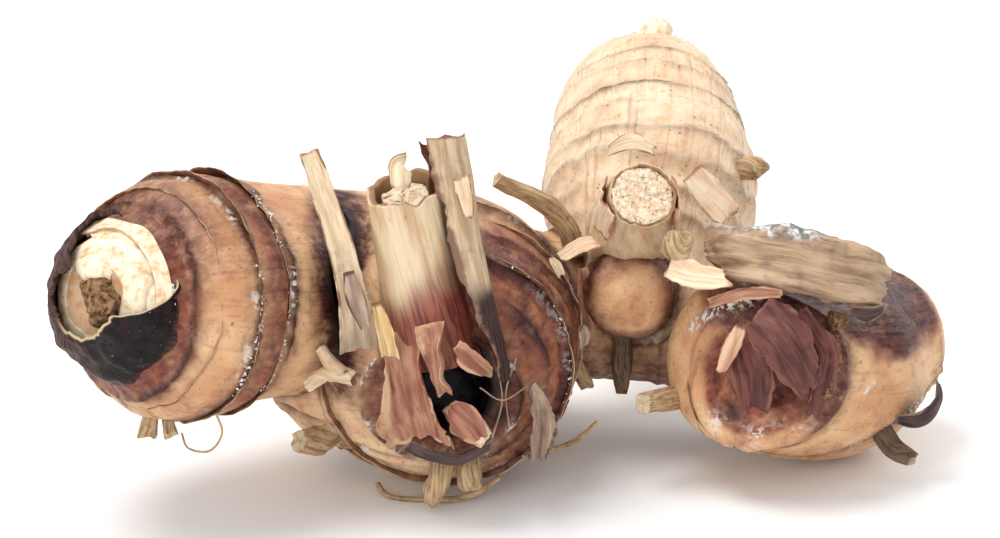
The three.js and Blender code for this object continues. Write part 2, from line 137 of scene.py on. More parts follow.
def frames(route, t, facing):
    """Points, directions, sides and across axes along a route. side is as near facing as it can be."""
    t = np.asarray(t, float)
    step = 0.002
    at = along_curve(route, t)[:, :3]
    ahead = along_curve(route, np.minimum(t + step, 1))[:, :3]
    behind = along_curve(route, np.maximum(t - step, 0))[:, :3]
    along = unit(ahead - behind)
    facing = np.asarray(facing, float)
    side = unit(facing - (along @ facing)[:, None] * along)
    return at, along, side, np.cross(side, along)


# --- fingers ------------------------------------------------------------------------------------

# [x, y, z, radius] along each finger, and how long each rounded end is as a share of the radius.
LEFT = (
    [
        [-12.6, 8, 25.3, 17],
        [-27.9, 0, 29.6, 15.8],
        [-42.5, -11.5, 33, 17.8],
        [-47.9, -17, 34.2, 18.2],
        [-52.4, -21.8, 35.6, 16],
        [-55.6, -25.8, 37, 11.4],
    ],
    (0.8, 0.4),
)
MIDDLE = ([[-5, 16, 21, 16], [-9.4, 2, 22.2, 22.8], [-8.5, -8, 21.8, 20.5]], (0.8, 0.65))
HEEL = ([[-9.4, 2, 21, 20], [-21, 1, 19.5, 16]], (0.5, 1))
BRIDGE = (
    [[-4, 12, 22, 15], [6, 15, 21.5, 12.5], [16.2, 18, 20.5, 11.2], [29, 18, 18.5, 11], [45, 13, 16, 12.5]],
    (0.5, 0.5),
)
RIGHT = (
    [[34.6, -7.5, 20.8, 12.7], [43.5, -0.5, 18.2, 15.2], [53, 8, 15.3, 15.8], [60.5, 14.5, 16, 12.2]],
    (0.4, 0.85),
)
REAR = (
    [
        [22.5, 16, 24, 13], [24.2, 28, 34.5, 17.6], [24.6, 39, 42, 16.2], [24.5, 46, 46.5, 14.6],
        [24.5, 50.5, 49.5, 12],
    ],
    (0.8, 0.3),
)
BUD = ([[21.5, 12, 25.5, 8], [20.3, 4.5, 28, 7]], (0.8, 0.85))
PARENT_STUMP = ([[-5, 14, 21, 14], [-9, 28, 14, 12], [-12, 44, 12, 12.6]], (0.6, 0.12))


def section(finger, s, height):
    """Centre, radius, side and across of the finger's round sections at s, raised by height."""
    stations, caps = finger
    s = np.asarray(s, float)
    t = np.clip(s, 0, 1)
    at, along, side, across = frames(stations, t, UP)
    turn = (s - t) * math.pi / 2
    radius = along_curve(stations, t)[:, 3]
    cap = radius * np.where(s < 0, caps[0], caps[1]) + height
    centre = at + along * (np.sin(turn) * cap)[:, None]
    return centre, (radius + height) * np.cos(turn), side, across


def over_skin(finger, s, angle, height=0.0):
    """Points over a finger's skin. Angle 0 is up and a quarter turn is to the right."""
    s, angle, height = np.broadcast_arrays(np.asarray(s, float), angle, height)
    centre, radius, side, across = section(finger, s.ravel(), height.ravel())
    turn = angle.ravel()
    out = centre + side * (radius * np.cos(turn))[:, None] + across * (radius * np.sin(turn))[:, None]
    return out.reshape(s.shape + (3,))


def finger_place(finger, points):
    """s, angle and height over the skin of points near a finger."""
    stations, caps = finger
    t = np.linspace(0, 1, 161)
    at, along, side, across = frames(stations, t, UP)
    radius = along_curve(stations, t)[:, 3]
    nearest = np.zeros(len(points), int)
    best = np.full(len(points), 1e9)
    for i in range(len(t)):
        gap = np.linalg.norm(points - at[i], axis=1) - 0.3 * radius[i]
        closer = gap < best
        best[closer] = gap[closer]
        nearest[closer] = i
    away = points - at[nearest]
    axial = np.sum(away * along[nearest], axis=1)
    up = np.sum(away * side[nearest], axis=1)
    right = np.sum(away * across[nearest], axis=1)
    outward = np.hypot(up, right)
    reach = radius[nearest]
    past_end = (nearest == len(t) - 1) & (axial > 0)
    before_start = (nearest == 0) & (axial < 0)
    s = t[nearest].copy()
    end_turn = np.arctan2(axial / (caps[1] * reach), outward / reach)
    start_turn = np.arctan2(-axial / (caps[0] * reach), outward / reach)
    s = np.where(past_end, 1 + end_turn / (math.pi / 2), s)
    s = np.where(before_start, -start_turn / (math.pi / 2), s)
    beyond = np.where(
        past_end, axial / (caps[1] * reach), np.where(before_start, axial / (caps[0] * reach), 0)
    )
    height = (np.hypot(outward / reach, beyond) - 1) * reach
    return s, np.arctan2(right, up), height


# --- meshes -------------------------------------------------------------------------------------


def make_object(name, points, faces):
    """A mesh object from points in the CAD drawing's millimetres. Nothing dips under the table."""
    mesh = bpy.data.meshes.new(name)
    place = (np.asarray(points, float) - MIDDLE_OF_BASE) * MM
    place[:, 2] = np.maximum(place[:, 2], 0)
    mesh.from_pydata(place.tolist(), [], [tuple(int(i) for i in face) for face in faces])
    mesh.validate()
    mesh.polygons.foreach_set("use_smooth", [True] * len(mesh.polygons))
    obj = bpy.data.objects.new(name, mesh)
    bpy.context.scene.collection.objects.link(obj)
    return obj


def places_of(obj):
    """Where an object's points are in the CAD drawing's millimetres."""
    return np.array([vertex.co[:] for vertex in obj.data.vertices]) / MM + MIDDLE_OF_BASE


def paint(obj, name, values):
    """Stores a number, a vector or a colour at each vertex."""
    values = np.asarray(values, np.float32)
    if values.ndim == 1:
        layer = obj.data.attributes.new(name, "FLOAT", "POINT")
        layer.data.foreach_set("value", values)
    else:
        layer = obj.data.attributes.new(name, "FLOAT_VECTOR", "POINT")
        layer.data.foreach_set("vector", values.ravel())


def keep(obj, material, slot, *nodes):
    """Gives a piece its material and its place in the model."""
    obj.data.materials.clear()
    obj.data.materials.append(material)
    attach(obj, "root")
    if nodes:
        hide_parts(*nodes)
    return obj


def grow(make, look, slot, name, *shape, **texture):
    """Makes a piece, keeps it, and lets it stand for the CAD node of its name if there is one."""
    obj = make(name, *shape, **texture)
    return keep(obj, look, slot, *([name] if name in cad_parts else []))


def grid_faces(rows, columns, start=0, wrap=False, flip=False):
    """Quads over a grid of points stored row by row."""
    faces = []
    for row in range(rows - 1):
        for column in range(columns if wrap else columns - 1):
            right = (column + 1) % columns
            a = start + row * columns + column
            b = start + row * columns + right
            quad = (a, b, b + columns, a + columns)
            faces.append(quad[::-1] if flip else quad)
    return faces


def outward(obj):
    """Turns every face of a closed mesh outwards."""
    edit = bmesh.new()
    edit.from_mesh(obj.data)
    bmesh.ops.recalc_face_normals(edit, faces=edit.faces)
    edit.to_mesh(obj.data)
    edit.free()
    return obj


def closed_sheet(name, front, back, grain, edge):
    """A thin closed body between two grids of points, with its grain and edge painted on."""
    rows, columns = front.shape[:2]
    points = np.vstack([front.reshape(-1, 3), back.reshape(-1, 3)])
    size = rows * columns
    faces = grid_faces(rows, columns) + grid_faces(rows, columns, size, flip=True)
    rim = [r * columns for r in range(rows)]
    rim += [(rows - 1) * columns + c for c in range(1, columns)]
    rim += [r * columns + columns - 1 for r in range(rows - 2, -1, -1)]
    rim += list(range(columns - 2, 0, -1))
    for a, b in zip(rim, rim[1:] + rim[:1]):
        faces.append((a, b, b + size, a + size))
    obj = outward(make_object(name, points, faces))
    paint(obj, "Grain", np.vstack([grain.reshape(-1, 3)] * 2))
    paint(obj, "Edge", np.concatenate([edge.ravel()] * 2))
    # Inside marks the front side, which a leaf look can darken as painted shade.
    paint(obj, "Inside", np.repeat([1.0, 0.0], size))
    return obj


def sheet(
    name, route, widths, facing, curls=(0.05,), thickness=0.35, ribs=0.06, rib_gap=0.9, crumple=0.35,
    ragged=(0.4, 0.5), torn_sides=0.05, seed=1, columns=26, rows=90,
):
    """A dry torn strip of leaf along a route, bent across by curls, with ribs along it.

    ragged is how far each end is torn, in millimetres. torn_sides is a share of the width.
    """
    across = np.linspace(-0.5, 0.5, columns)
    length = length_of(route)
    tears = []
    for end, depth in enumerate(ragged):
        tear = depth / length * (0.6 + 0.6 * line_noise(across * max(widths), 1.7, seed + 2 * end))
        fine = line_noise(across * max(widths), 0.5, seed + 1 + 2 * end)
        tears.append(tear + depth / length * 0.2 * fine)
    start_tear, end_tear = tears
    share = np.linspace(0, 1, rows)[:, None]
    t = np.clip(start_tear + (1 - start_tear - end_tear) * share, 0, 1)
    flat_t = t.ravel()
    at, _, side, over = frames(route, flat_t, facing)
    width = through(widths, flat_t)
    curl = np.maximum(0.01, through(curls, flat_t))
    a = np.broadcast_to(across, t.shape).ravel().copy()
    sides = []
    for number, long, short in ((seed + 4, 4.2, 0.9), (seed + 5, 3.6, 0.8)):
        coarse = line_noise(flat_t * length, long, number)
        fine = line_noise(flat_t * length, short, number)
        sides.append(1 + torn_sides * (2 * coarse + 0.6 * fine))
    a *= np.where(a < 0, *sides)
    grain = np.stack([a * width, flat_t * length, np.full(a.size, seed * 7.0)], axis=1)
    rib = ribs * line_noise(a * width + 0.35 * line_noise(flat_t * length, 6, seed + 6), rib_gap, seed + 7)
    rib += 0.5 * ribs * line_noise(a * width, rib_gap * 0.4, seed + 8)
    wave = crumple * noise(grain * [1, 0.5, 1], 3.6, seed + 9)
    wave += 0.3 * crumple * noise(grain * [1, 0.6, 1], 1.3, seed + 10)
    edge = np.maximum(ramp(np.abs(a), 0.36, 0.5), ramp(np.minimum(t, 1 - t).ravel() * length, 1.6, 0.1))
    half = 0.5 * thickness * (1 - 0.55 * edge)
    bend = width / curl
    turn = a * curl
    middle = at + over * (bend * np.sin(turn))[:, None] + side * (bend * (1 - np.cos(turn)))[:, None]
    normal = side * np.cos(turn)[:, None] - over * np.sin(turn)[:, None]
    middle = middle + normal * (rib + wave)[:, None]
    shape = t.shape + (3,)
    front = (middle + normal * half[:, None]).reshape(shape)
    back = (middle - normal * half[:, None]).reshape(shape)
    return closed_sheet(name, front, back, grain, edge)


def tube(
    name, stations, facing=(1, 0, 0.2), rows=60, columns=40, ribs=0.1, rib_gap=0.9, lumps=0.15, torn=0.4,
    bore=None, squash=1.0, slant=0.0, seed=1,
):
    """A stem or root through stations of [x, y, z, radius], torn at its far end.

    bore is (radius share, depth in millimetres) of the hole in a hollow one. squash flattens it,
    and slant cuts the side that faces the viewer this much lower.
    """
    stations = np.asarray(stations, float)
    length = length_of(stations[:, :3])
    turns = np.linspace(0, 2 * math.pi, columns, endpoint=False)
    circle = np.stack([np.cos(turns), np.sin(turns), np.zeros(columns)], axis=1)
    tip_radius = stations[-1, 3]
    tear = torn * (0.6 + 0.6 * noise(circle * tip_radius + seed, 1.8, seed))
    tear += 0.25 * torn * noise(circle * tip_radius + seed, 0.6, seed + 1)
    tear += slant * (0.5 + 0.5 * np.sin(turns))

    def ring(t, shrink):
        """One ring of points at share t, its radius shrunk by a factor."""
        t = np.clip(t, 0, 1)
        at, _, side, over = frames(stations[:, :3], t, facing)
        radius = along_curve(stations, t)[:, 3]
        place = circle * radius[:, None] + np.array([0, 0, 1]) * (t * length)[:, None]
        rib = ribs * noise(place * [1, 1, 0.08], rib_gap, seed + 2)
        rib += 0.5 * ribs * noise(place * [1, 1, 0.12], rib_gap * 0.45, seed + 3)
        rib += lumps * noise(place * [1, 1, 0.6], 2.2, seed + 4)
        reach = (radius + rib) * shrink
        x = reach * np.cos(turns)
        y = reach * np.sin(turns) * squash
        grain = np.stack([turns * radius, t * length, reach], axis=1)
        return at + side * x[:, None] + over * y[:, None], grain

    ends = 1 - tear / length
    layers = [ring(np.zeros(columns), share) for share in (0.3, 0.7)]
    layers += [ring(ends * row / (rows - 1), 1.0) for row in range(rows)]
    rim = [0.0] * len(layers)
    if bore:
        inner, depth = bore
        drops = np.linspace(0, depth, 12)
        lip = 0.5 * (1 + inner)
        layers.append(ring(ends + 0.12 / length, lip))
        layers += [ring(ends - drop / length, inner) for drop in drops]
        layers += [ring(ends - (depth + 0.2) / length, inner * share) for share in (0.6, 0.2)]
        rim += [1.0] * (1 + len(drops) + 2)
    else:
        for share in (0.93, 0.8, 0.6, 0.4, 0.2):
            layers.append(ring(ends - 0.2 * (1 - share) * torn / length, share))
            rim.append(1.0)
    points = np.concatenate([layer[0] for layer in layers])
    grain = np.concatenate([layer[1] for layer in layers])
    faces = grid_faces(len(layers), columns, wrap=True)
    first, last = len(points), len(points) + 1
    points = np.vstack([points, layers[0][0].mean(0), layers[-1][0].mean(0)])
    grain = np.vstack([grain, grain[0], grain[-1]])
    base = (len(layers) - 1) * columns
    for column in range(columns):
        right = (column + 1) % columns
        faces.append((first, right, column))
        faces.append((last, base + column, base + right))
    obj = outward(make_object(name, points, faces))
    paint(obj, "Grain", grain)
    paint(obj, "Edge", np.concatenate([np.repeat(rim, columns), [rim[0], rim[-1]]]))
    return obj


def skin_patch(
    name, finger, s, angle, lift, thickness, rows=50, columns=120, torn=0.0, wrinkle=0.2, taper=0.0, seed=1
):
    """A scale lying over part of a finger. lift is its height over the skin at each end of s.

    taper is the turn in radians over which it narrows at each side.
    """
    turn = np.radians(np.linspace(angle[0], angle[1], columns))[None, :]
    share = np.linspace(0, 1, rows)[:, None]
    tear = torn * line_noise(np.degrees(turn), 16, seed)
    tear = tear + 0.3 * torn * line_noise(np.degrees(turn), 4, seed + 1)
    inside = np.minimum(turn - turn[:, :1], turn[:, -1:] - turn)
    grown = ramp(inside, -0.05, taper) if taper else 1
    place = s[0] + (s[1] + tear - s[0]) * share * grown
    turn = turn + 0 * share
    height = (lift[0] + (lift[1] - lift[0]) * share**2) * grown + 0 * turn
    flat = over_skin(finger, place, turn).reshape(-1, 3)
    height = height + wrinkle * noise(flat, 3.0, seed + 2).reshape(height.shape)
    height = height + 0.6 * wrinkle * noise(flat, 1.4, seed + 3).reshape(height.shape)
    edge = np.maximum(ramp(share, 0.93, 1.0), ramp(inside, 0.12, 0.0))
    thin = thickness * (1 - 0.6 * edge)
    back = over_skin(finger, place, turn, height)
    front = over_skin(finger, place, turn, height + thin)
    grain = np.stack([turn * 12, place * 14, 0 * turn], axis=-1)
    return closed_sheet(name, front, back, grain, edge)


def specks(name, places, size, seed=1):
    """Small rough grains at the given places, in one mesh. size is their mean radius."""
    random = np.random.default_rng(seed)
    ball = bmesh.new()
    bmesh.ops.create_icosphere(ball, subdivisions=2, radius=1)
    shape = np.array([vertex.co[:] for vertex in ball.verts])
    shape_faces = [[vertex.index for vertex in face.verts] for face in ball.faces]
    ball.free()
    points, faces = [], []
    for number, place in enumerate(places):
        radius = size * random.uniform(0.45, 1.5)
        stretch = random.uniform(0.6, 1.5, 3)
        lump = 1 + 0.45 * noise(shape + number * 3.7, 0.8, seed)
        faces += [[i + number * len(shape) for i in face] for face in shape_faces]
        points.append(place + shape * lump[:, None] * stretch * radius)
    return make_object(name, np.vstack(points), faces)


# --- materials ----------------------------------------------------------------------------------


class Shader:
    """A material and the nodes that are used most in it. Sizes are in millimetres."""

    def __init__(self, name, specular=0.5):
        self.material = bpy.data.materials.new(name)
        self.material.use_nodes = True
        self.tree = self.material.node_tree
        self.base = self.tree.nodes["Principled BSDF"]
        self.base.inputs["Specular IOR Level"].default_value = specular
        self.place = self.tree.nodes.new("ShaderNodeTexCoord").outputs["Object"]

    def put(self, socket, value):
        """Links a socket or sets its constant."""
        if isinstance(value, bpy.types.NodeSocket):
            self.tree.links.new(value, socket)
        elif isinstance(value, str):
            socket.default_value = (*colour(value), 1)
        else:
            socket.default_value = value

    def attribute(self, name):
        node = self.tree.nodes.new("ShaderNodeAttribute")
        node.attribute_name = name
        return node.outputs["Fac"]

    def grain(self):
        """The place along and across a piece, in metres."""
        node = self.tree.nodes.new("ShaderNodeAttribute")
        node.attribute_name = "Grain"
        scale = self.tree.nodes.new("ShaderNodeVectorMath")
        scale.operation = "SCALE"
        self.put(scale.inputs[0], node.outputs["Vector"])
        scale.inputs["Scale"].default_value = MM
        return scale.outputs[0]

    def noise(self, size, vector=None, stretch=(1, 1, 1), detail=3.0, rough=0.55):
        """Noise about 0.5 that changes over size. stretch makes it longer along an axis."""
        spread = self.tree.nodes.new("ShaderNodeMapping")
        self.put(spread.inputs["Vector"], vector or self.place)
        spread.inputs["Scale"].default_value = [1 / (size * MM * share) for share in stretch]
        node = self.tree.nodes.new("ShaderNodeTexNoise")
        self.put(node.inputs["Vector"], spread.outputs[0])
        node.inputs["Scale"].default_value = 1.0
        node.inputs["Detail"].default_value = detail
        node.inputs["Roughness"].default_value = rough
        return node.outputs["Fac"]

    def ramp(self, value, low, high, start=0.0, end=1.0):
        """start where the value is low, end where it is high, smooth between."""
        node = self.tree.nodes.new("ShaderNodeMapRange")
        node.interpolation_type = "SMOOTHSTEP"
        for socket, number in zip(node.inputs[1:5], (low, high, start, end)):
            socket.default_value = number
        self.put(node.inputs["Value"], value)
        return node.outputs[0]

    def math(self, operation, a, b):
        node = self.tree.nodes.new("ShaderNodeMath")
        node.operation = operation
        self.put(node.inputs[0], a)
        self.put(node.inputs[1], b)
        return node.outputs[0]

    def mix(self, share, a, b):
        """Colour a, with colour b over it by share."""
        node = self.tree.nodes.new("ShaderNodeMix")
        node.data_type = "RGBA"
        self.put(node.inputs[0], share)
        self.put(node.inputs[6], a)
        self.put(node.inputs[7], b)
        return node.outputs[2]

    def relief(self, height, depth):
        """Bumps of this depth where height goes from 0 to 1."""
        node = self.tree.nodes.new("ShaderNodeBump")
        node.inputs["Strength"].default_value = 1.0
        node.inputs["Distance"].default_value = depth * MM
        self.put(node.inputs["Height"], height)
        self.tree.links.new(node.outputs[0], self.base.inputs["Normal"])

    def finish(self, base_colour, roughness, soft=0.0):
        """Sets the colour and roughness, and how much light passes under the surface."""
        self.put(self.base.inputs["Base Color"], base_colour)
        self.put(self.base.inputs["Roughness"], roughness)
        self.base.inputs["Subsurface Weight"].default_value = soft
        self.base.inputs["Subsurface Radius"].default_value = (1.2, 0.5, 0.25)
        self.base.inputs["Subsurface Scale"].default_value = MM
        return self.material


def skin_material():
    """The rhizome's waxy skin, with the stains, the painted shade and the painted light that are painted on
    its mesh.
    """
    look = Shader("rhizome_skin", specular=0.25)
    grain = look.grain()
    patches = look.noise(9, detail=5, rough=0.6)
    fine = look.noise(2.2, detail=5, rough=0.65)
    streaks = look.noise(0.6, grain, (1, 18, 1), detail=4)
    tone = look.mix(look.ramp(patches, 0.38, 0.64), "e0b88d", "c8946b")
    tone = look.mix(look.ramp(fine, 0.5, 0.72, 0, 0.6), tone, "a26a52")
    # The Cream layer holds pale young skin and also painted light on the middle finger's underside.
    cream = look.mix(look.ramp(fine, 0.4, 0.7), "ecd9bd", "dfbf99")
    tone = look.mix(look.attribute("Cream"), tone, cream)
    tone = look.mix(look.ramp(streaks, 0.52, 0.76, 0, 0.45), tone, "94604a")
    dots = look.noise(0.7, detail=1)
    tone = look.mix(look.ramp(dots, 0.68, 0.75, 0, 0.6), tone, "7a4030")
    # The Red and Purple layers hold wet skin and stains, and also painted shade in creases, hollows, under
    # the dried leaf and round the small side bud.
    reddening = look.math("MULTIPLY", look.attribute("Red"), look.ramp(fine, 0.2, 0.62, 0.55, 1))
    wet_and_shade_tone = look.mix(look.ramp(look.noise(1.3, detail=4), 0.4, 0.7), "94503c", "5f241d")
    tone = look.mix(reddening, tone, wet_and_shade_tone)
    stain_and_shade = look.math("MULTIPLY", look.attribute("Purple"), look.ramp(fine, 0.25, 0.6, 0.45, 1))
    stain_and_shade_tone = look.mix(look.ramp(streaks, 0.4, 0.65), "5a2824", "300e12")
    tone = look.mix(stain_and_shade, tone, stain_and_shade_tone)
    tone = look.mix(look.attribute("Ring"), tone, "321510")
    # The Dark layer holds dark torn tissue and stains, and also painted shade in the hollow and the crevice.
    tone = look.mix(look.attribute("Dark"), tone, "0b0405")
    spots = look.ramp(look.noise(0.9, detail=3), 0.48, 0.56)
    mould = look.math("MULTIPLY", look.attribute("Mould"), spots)
    tone = look.mix(mould, tone, "dfdcd6")
    rough = look.ramp(look.attribute("Red"), 0, 1, 0.42, 0.26)
    rough = look.math("ADD", rough, look.ramp(fine, 0.3, 0.7, -0.06, 0.12))
    wrinkles = look.noise(0.8, grain, (1, 6, 1), detail=5, rough=0.65)
    look.relief(look.math("ADD", wrinkles, look.ramp(fine, 0.2, 0.8, 0, 0.6)), 0.2)
    return look.finish(tone, rough, soft=0.06)


def leaf_material(
    name, pale, middle, dark, base=("5c4540", "2a1a1a"), inside=None, torn=None, rib=0.32, rough=(0.5, 0.8),
    relief=0.12,
):
    """Dry leaf tissue: fine lines along it, a darker torn edge, uneven stains and, where inside is given,
    painted shade on its inner side.
    """
    look = Shader(name, specular=0.35)
    grain = look.grain()
    lines = look.noise(rib, grain, (1, 30, 1), detail=4, rough=0.65)
    broad = look.noise(rib * 3.5, grain, (1, 7, 1), detail=3)
    patches = look.noise(3.5, detail=4)
    tone = look.mix(look.ramp(broad, 0.35, 0.68), pale, middle)
    tone = look.mix(look.ramp(lines, 0.52, 0.72, 0, 0.6), tone, dark)
    tone = look.mix(look.ramp(patches, 0.55, 0.75, 0, 0.5), tone, dark)
    tone = look.mix(look.attribute("Base"), tone, look.mix(look.ramp(lines, 0.4, 0.62), *base))
    # Painted shade: the Inside side of a rolled or curled sheet takes the darker inside colour.
    if inside:
        tone = look.mix(look.attribute("Inside"), tone, inside)
    edge = look.math("MULTIPLY", look.attribute("Edge"), look.ramp(patches, 0.35, 0.6, 0.3, 0.9))
    tone = look.mix(look.ramp(edge, 0.25, 0.75), tone, torn or dark)
    spots = look.ramp(look.noise(2.0, detail=6, rough=0.75), 0.42, 0.54)
    mouldy = look.math("MULTIPLY", look.attribute("Mould"), spots)
    tone = look.mix(mouldy, tone, look.mix(look.ramp(look.noise(1.6), 0.42, 0.58), "dcdedd", "62686a"))
    look.relief(look.math("ADD", lines, broad), relief)
    return look.finish(tone, look.ramp(lines, 0.3, 0.7, *rough), soft=0.1)


def stalk_material():
    """The leaf stalk's pale, juicy outside with fibres along it, and its dry torn end."""
    look = Shader("leaf_stalk")
    grain = look.grain()
    lines = look.noise(0.5, grain, (1, 34, 1), detail=4)
    broad = look.noise(2.6, grain, (1, 5, 1), detail=3)
    tone = look.mix(look.ramp(broad, 0.35, 0.7), "dac5a3", "c29e78")
    tone = look.mix(look.ramp(lines, 0.52, 0.74, 0, 0.6), tone, "b98a5c")
    blots = look.noise(1.6, grain, (1, 2.5, 1), detail=2)
    tone = look.mix(look.ramp(blots, 0.68, 0.8, 0, 0.75), tone, "9a5b35")
    tone = look.mix(look.attribute("Base"), tone, look.mix(look.ramp(lines, 0.4, 0.6), "96543f", "6d2c27"))
    tone = look.mix(look.ramp(look.attribute("Edge"), 0.2, 0.8), tone, "8f6a45")
    look.relief(look.math("ADD", lines, broad), 0.14)
    return look.finish(tone, look.ramp(broad, 0.3, 0.7, 0.34, 0.55), soft=0.2)


def cut_material():
    """The porous pale face where a stalk was cut through."""
    look = Shader("cut_flesh", specular=0.3)
    fine = look.noise(0.9, detail=6, rough=0.75)
    tone = look.mix(look.ramp(fine, 0.38, 0.66), "f3e4ca", "d9b189")
    pits = look.noise(0.7, detail=1)
    tone = look.mix(look.ramp(pits, 0.66, 0.74, 0, 0.8), tone, "9a6c48")
    slots = look.noise(1.5, stretch=(2.6, 1, 0.6), detail=2)
    tone = look.mix(look.ramp(slots, 0.64, 0.7, 0, 0.9), tone, "8c5a3b")
    look.relief(look.math("SUBTRACT", fine, look.ramp(pits, 0.5, 0.75)), 0.35)
    return look.finish(tone, 0.72, soft=0.2)


def root_material(name, pale, dark):
    """A dry corky root stub."""
    look = Shader(name, specular=0.25)
    grain = look.grain()
    lines = look.noise(0.5, grain, (1, 9, 1), detail=5, rough=0.7)
    patches = look.noise(1.8, detail=4)
    tone = look.mix(look.ramp(lines, 0.38, 0.66), pale, dark)
    tone = look.mix(look.ramp(patches, 0.55, 0.75, 0, 0.6), tone, "4b3a2e")
    tone = look.mix(look.ramp(look.attribute("Edge"), 0.3, 0.9, 0, 0.5), tone, "e6d5b4")
    look.relief(look.math("ADD", lines, patches), 0.2)
    return look.finish(tone, 0.78)


def wet_scale_material():
    """The thick dark scale round the left bud: black and moist at its lip, brown behind."""
    look = Shader("dark_scale", specular=0.2)
    grain = look.grain()
    lines = look.noise(0.55, grain, (1, 9, 1), detail=4, rough=0.65)
    fine = look.noise(1.6, detail=5, rough=0.7)
    tone = look.mix(look.ramp(lines, 0.42, 0.62), "553830", "2a1618")
    wet = look.attribute("Wet")
    tone = look.mix(wet, tone, look.mix(look.ramp(fine, 0.45, 0.7), "060203", "2a0b0d"))
    tone = look.mix(look.math("MULTIPLY", look.attribute("Lip"), 0.95), tone, "d9bf98")
    spots = look.ramp(look.noise(0.5, detail=2), 0.7, 0.75, 0, 0.5)
    tone = look.mix(spots, tone, "c9b6ac")
    look.relief(look.math("ADD", lines, fine), 0.3)
    return look.finish(tone, look.ramp(wet, 0, 1, 0.55, 0.28))


def bud_material():
    """The cream flesh of the bud and its inner scale."""
    look = Shader("bud_cream")
    fine = look.noise(1.4, detail=4)
    tone = look.mix(look.ramp(fine, 0.42, 0.7), "efdfc3", "d2a878")
    tone = look.mix(look.ramp(look.attribute("Edge"), 0.5, 1.0, 0, 0.7), tone, "a8754c")
    look.relief(fine, 0.1)
    return look.finish(tone, 0.42, soft=0.25)


def mould_material():
    look = Shader("white_mould", specular=0.2)
    fine = look.noise(0.5, detail=4)
    look.relief(fine, 0.15)
    return look.finish(look.mix(look.ramp(fine, 0.35, 0.65), "f0efeb", "bdb6ad"), 0.85, soft=0.1)


def cork_material():
    """Crumbly brown cork in the bud's middle and the olive crumbs on the scar."""
    look = Shader("brown_cork", specular=0.2)
    fine = look.noise(0.8, detail=5, rough=0.7)
    tone = look.mix(look.ramp(fine, 0.35, 0.65), "a07a55", "42291d")
    look.relief(fine, 0.4)
    return look.finish(tone, 0.85)


def floor_material():
    look = Shader("white_table", specular=0.3)
    cloudy = look.noise(160, detail=2)
    return look.finish(look.mix(cloudy, "fbfbfb", "f6f6f5"), 0.55)


# --- rhizome ------------------------------------------------------------------------------------

FINGERS = {
    "left": LEFT,
    "middle": MIDDLE,
    "heel": HEEL,
    "bridge": BRIDGE,
    "right": RIGHT,
    "rear": REAR,
    "bud": BUD,
    "stump": PARENT_STUMP,
}
# Middle and radii of the hollow torn out of the middle finger, the torn skin round it, the crevice
# beside the stalk, the right finger's scar, the stain on its shoulder and the middle finger's clean belly,
# which is painted paler as painted light bounced up from the table.
HOLLOW = ((-7.5, -21, 20.5), (6.2, 7, 7.2))
BED = ((-8.5, -20, 18.5), (11.5, 10, 10))
CREVICE = ((-24.3, -11, 38), (2.2, 8, 12))
SCAR = ((40.3, -15, 22), (11.5, 7, 11))
SHOULDER = ((61, 1, 28), (14, 14, 8))
BELLY = ((-21, -14, 9), (13, 9, 8))


def in_ball(points, ball):
    """Distance from a ball's middle as a share of its radii."""
    centre, radii = ball
    return np.linalg.norm((points - np.array(centre)) / np.array(radii), axis=1)


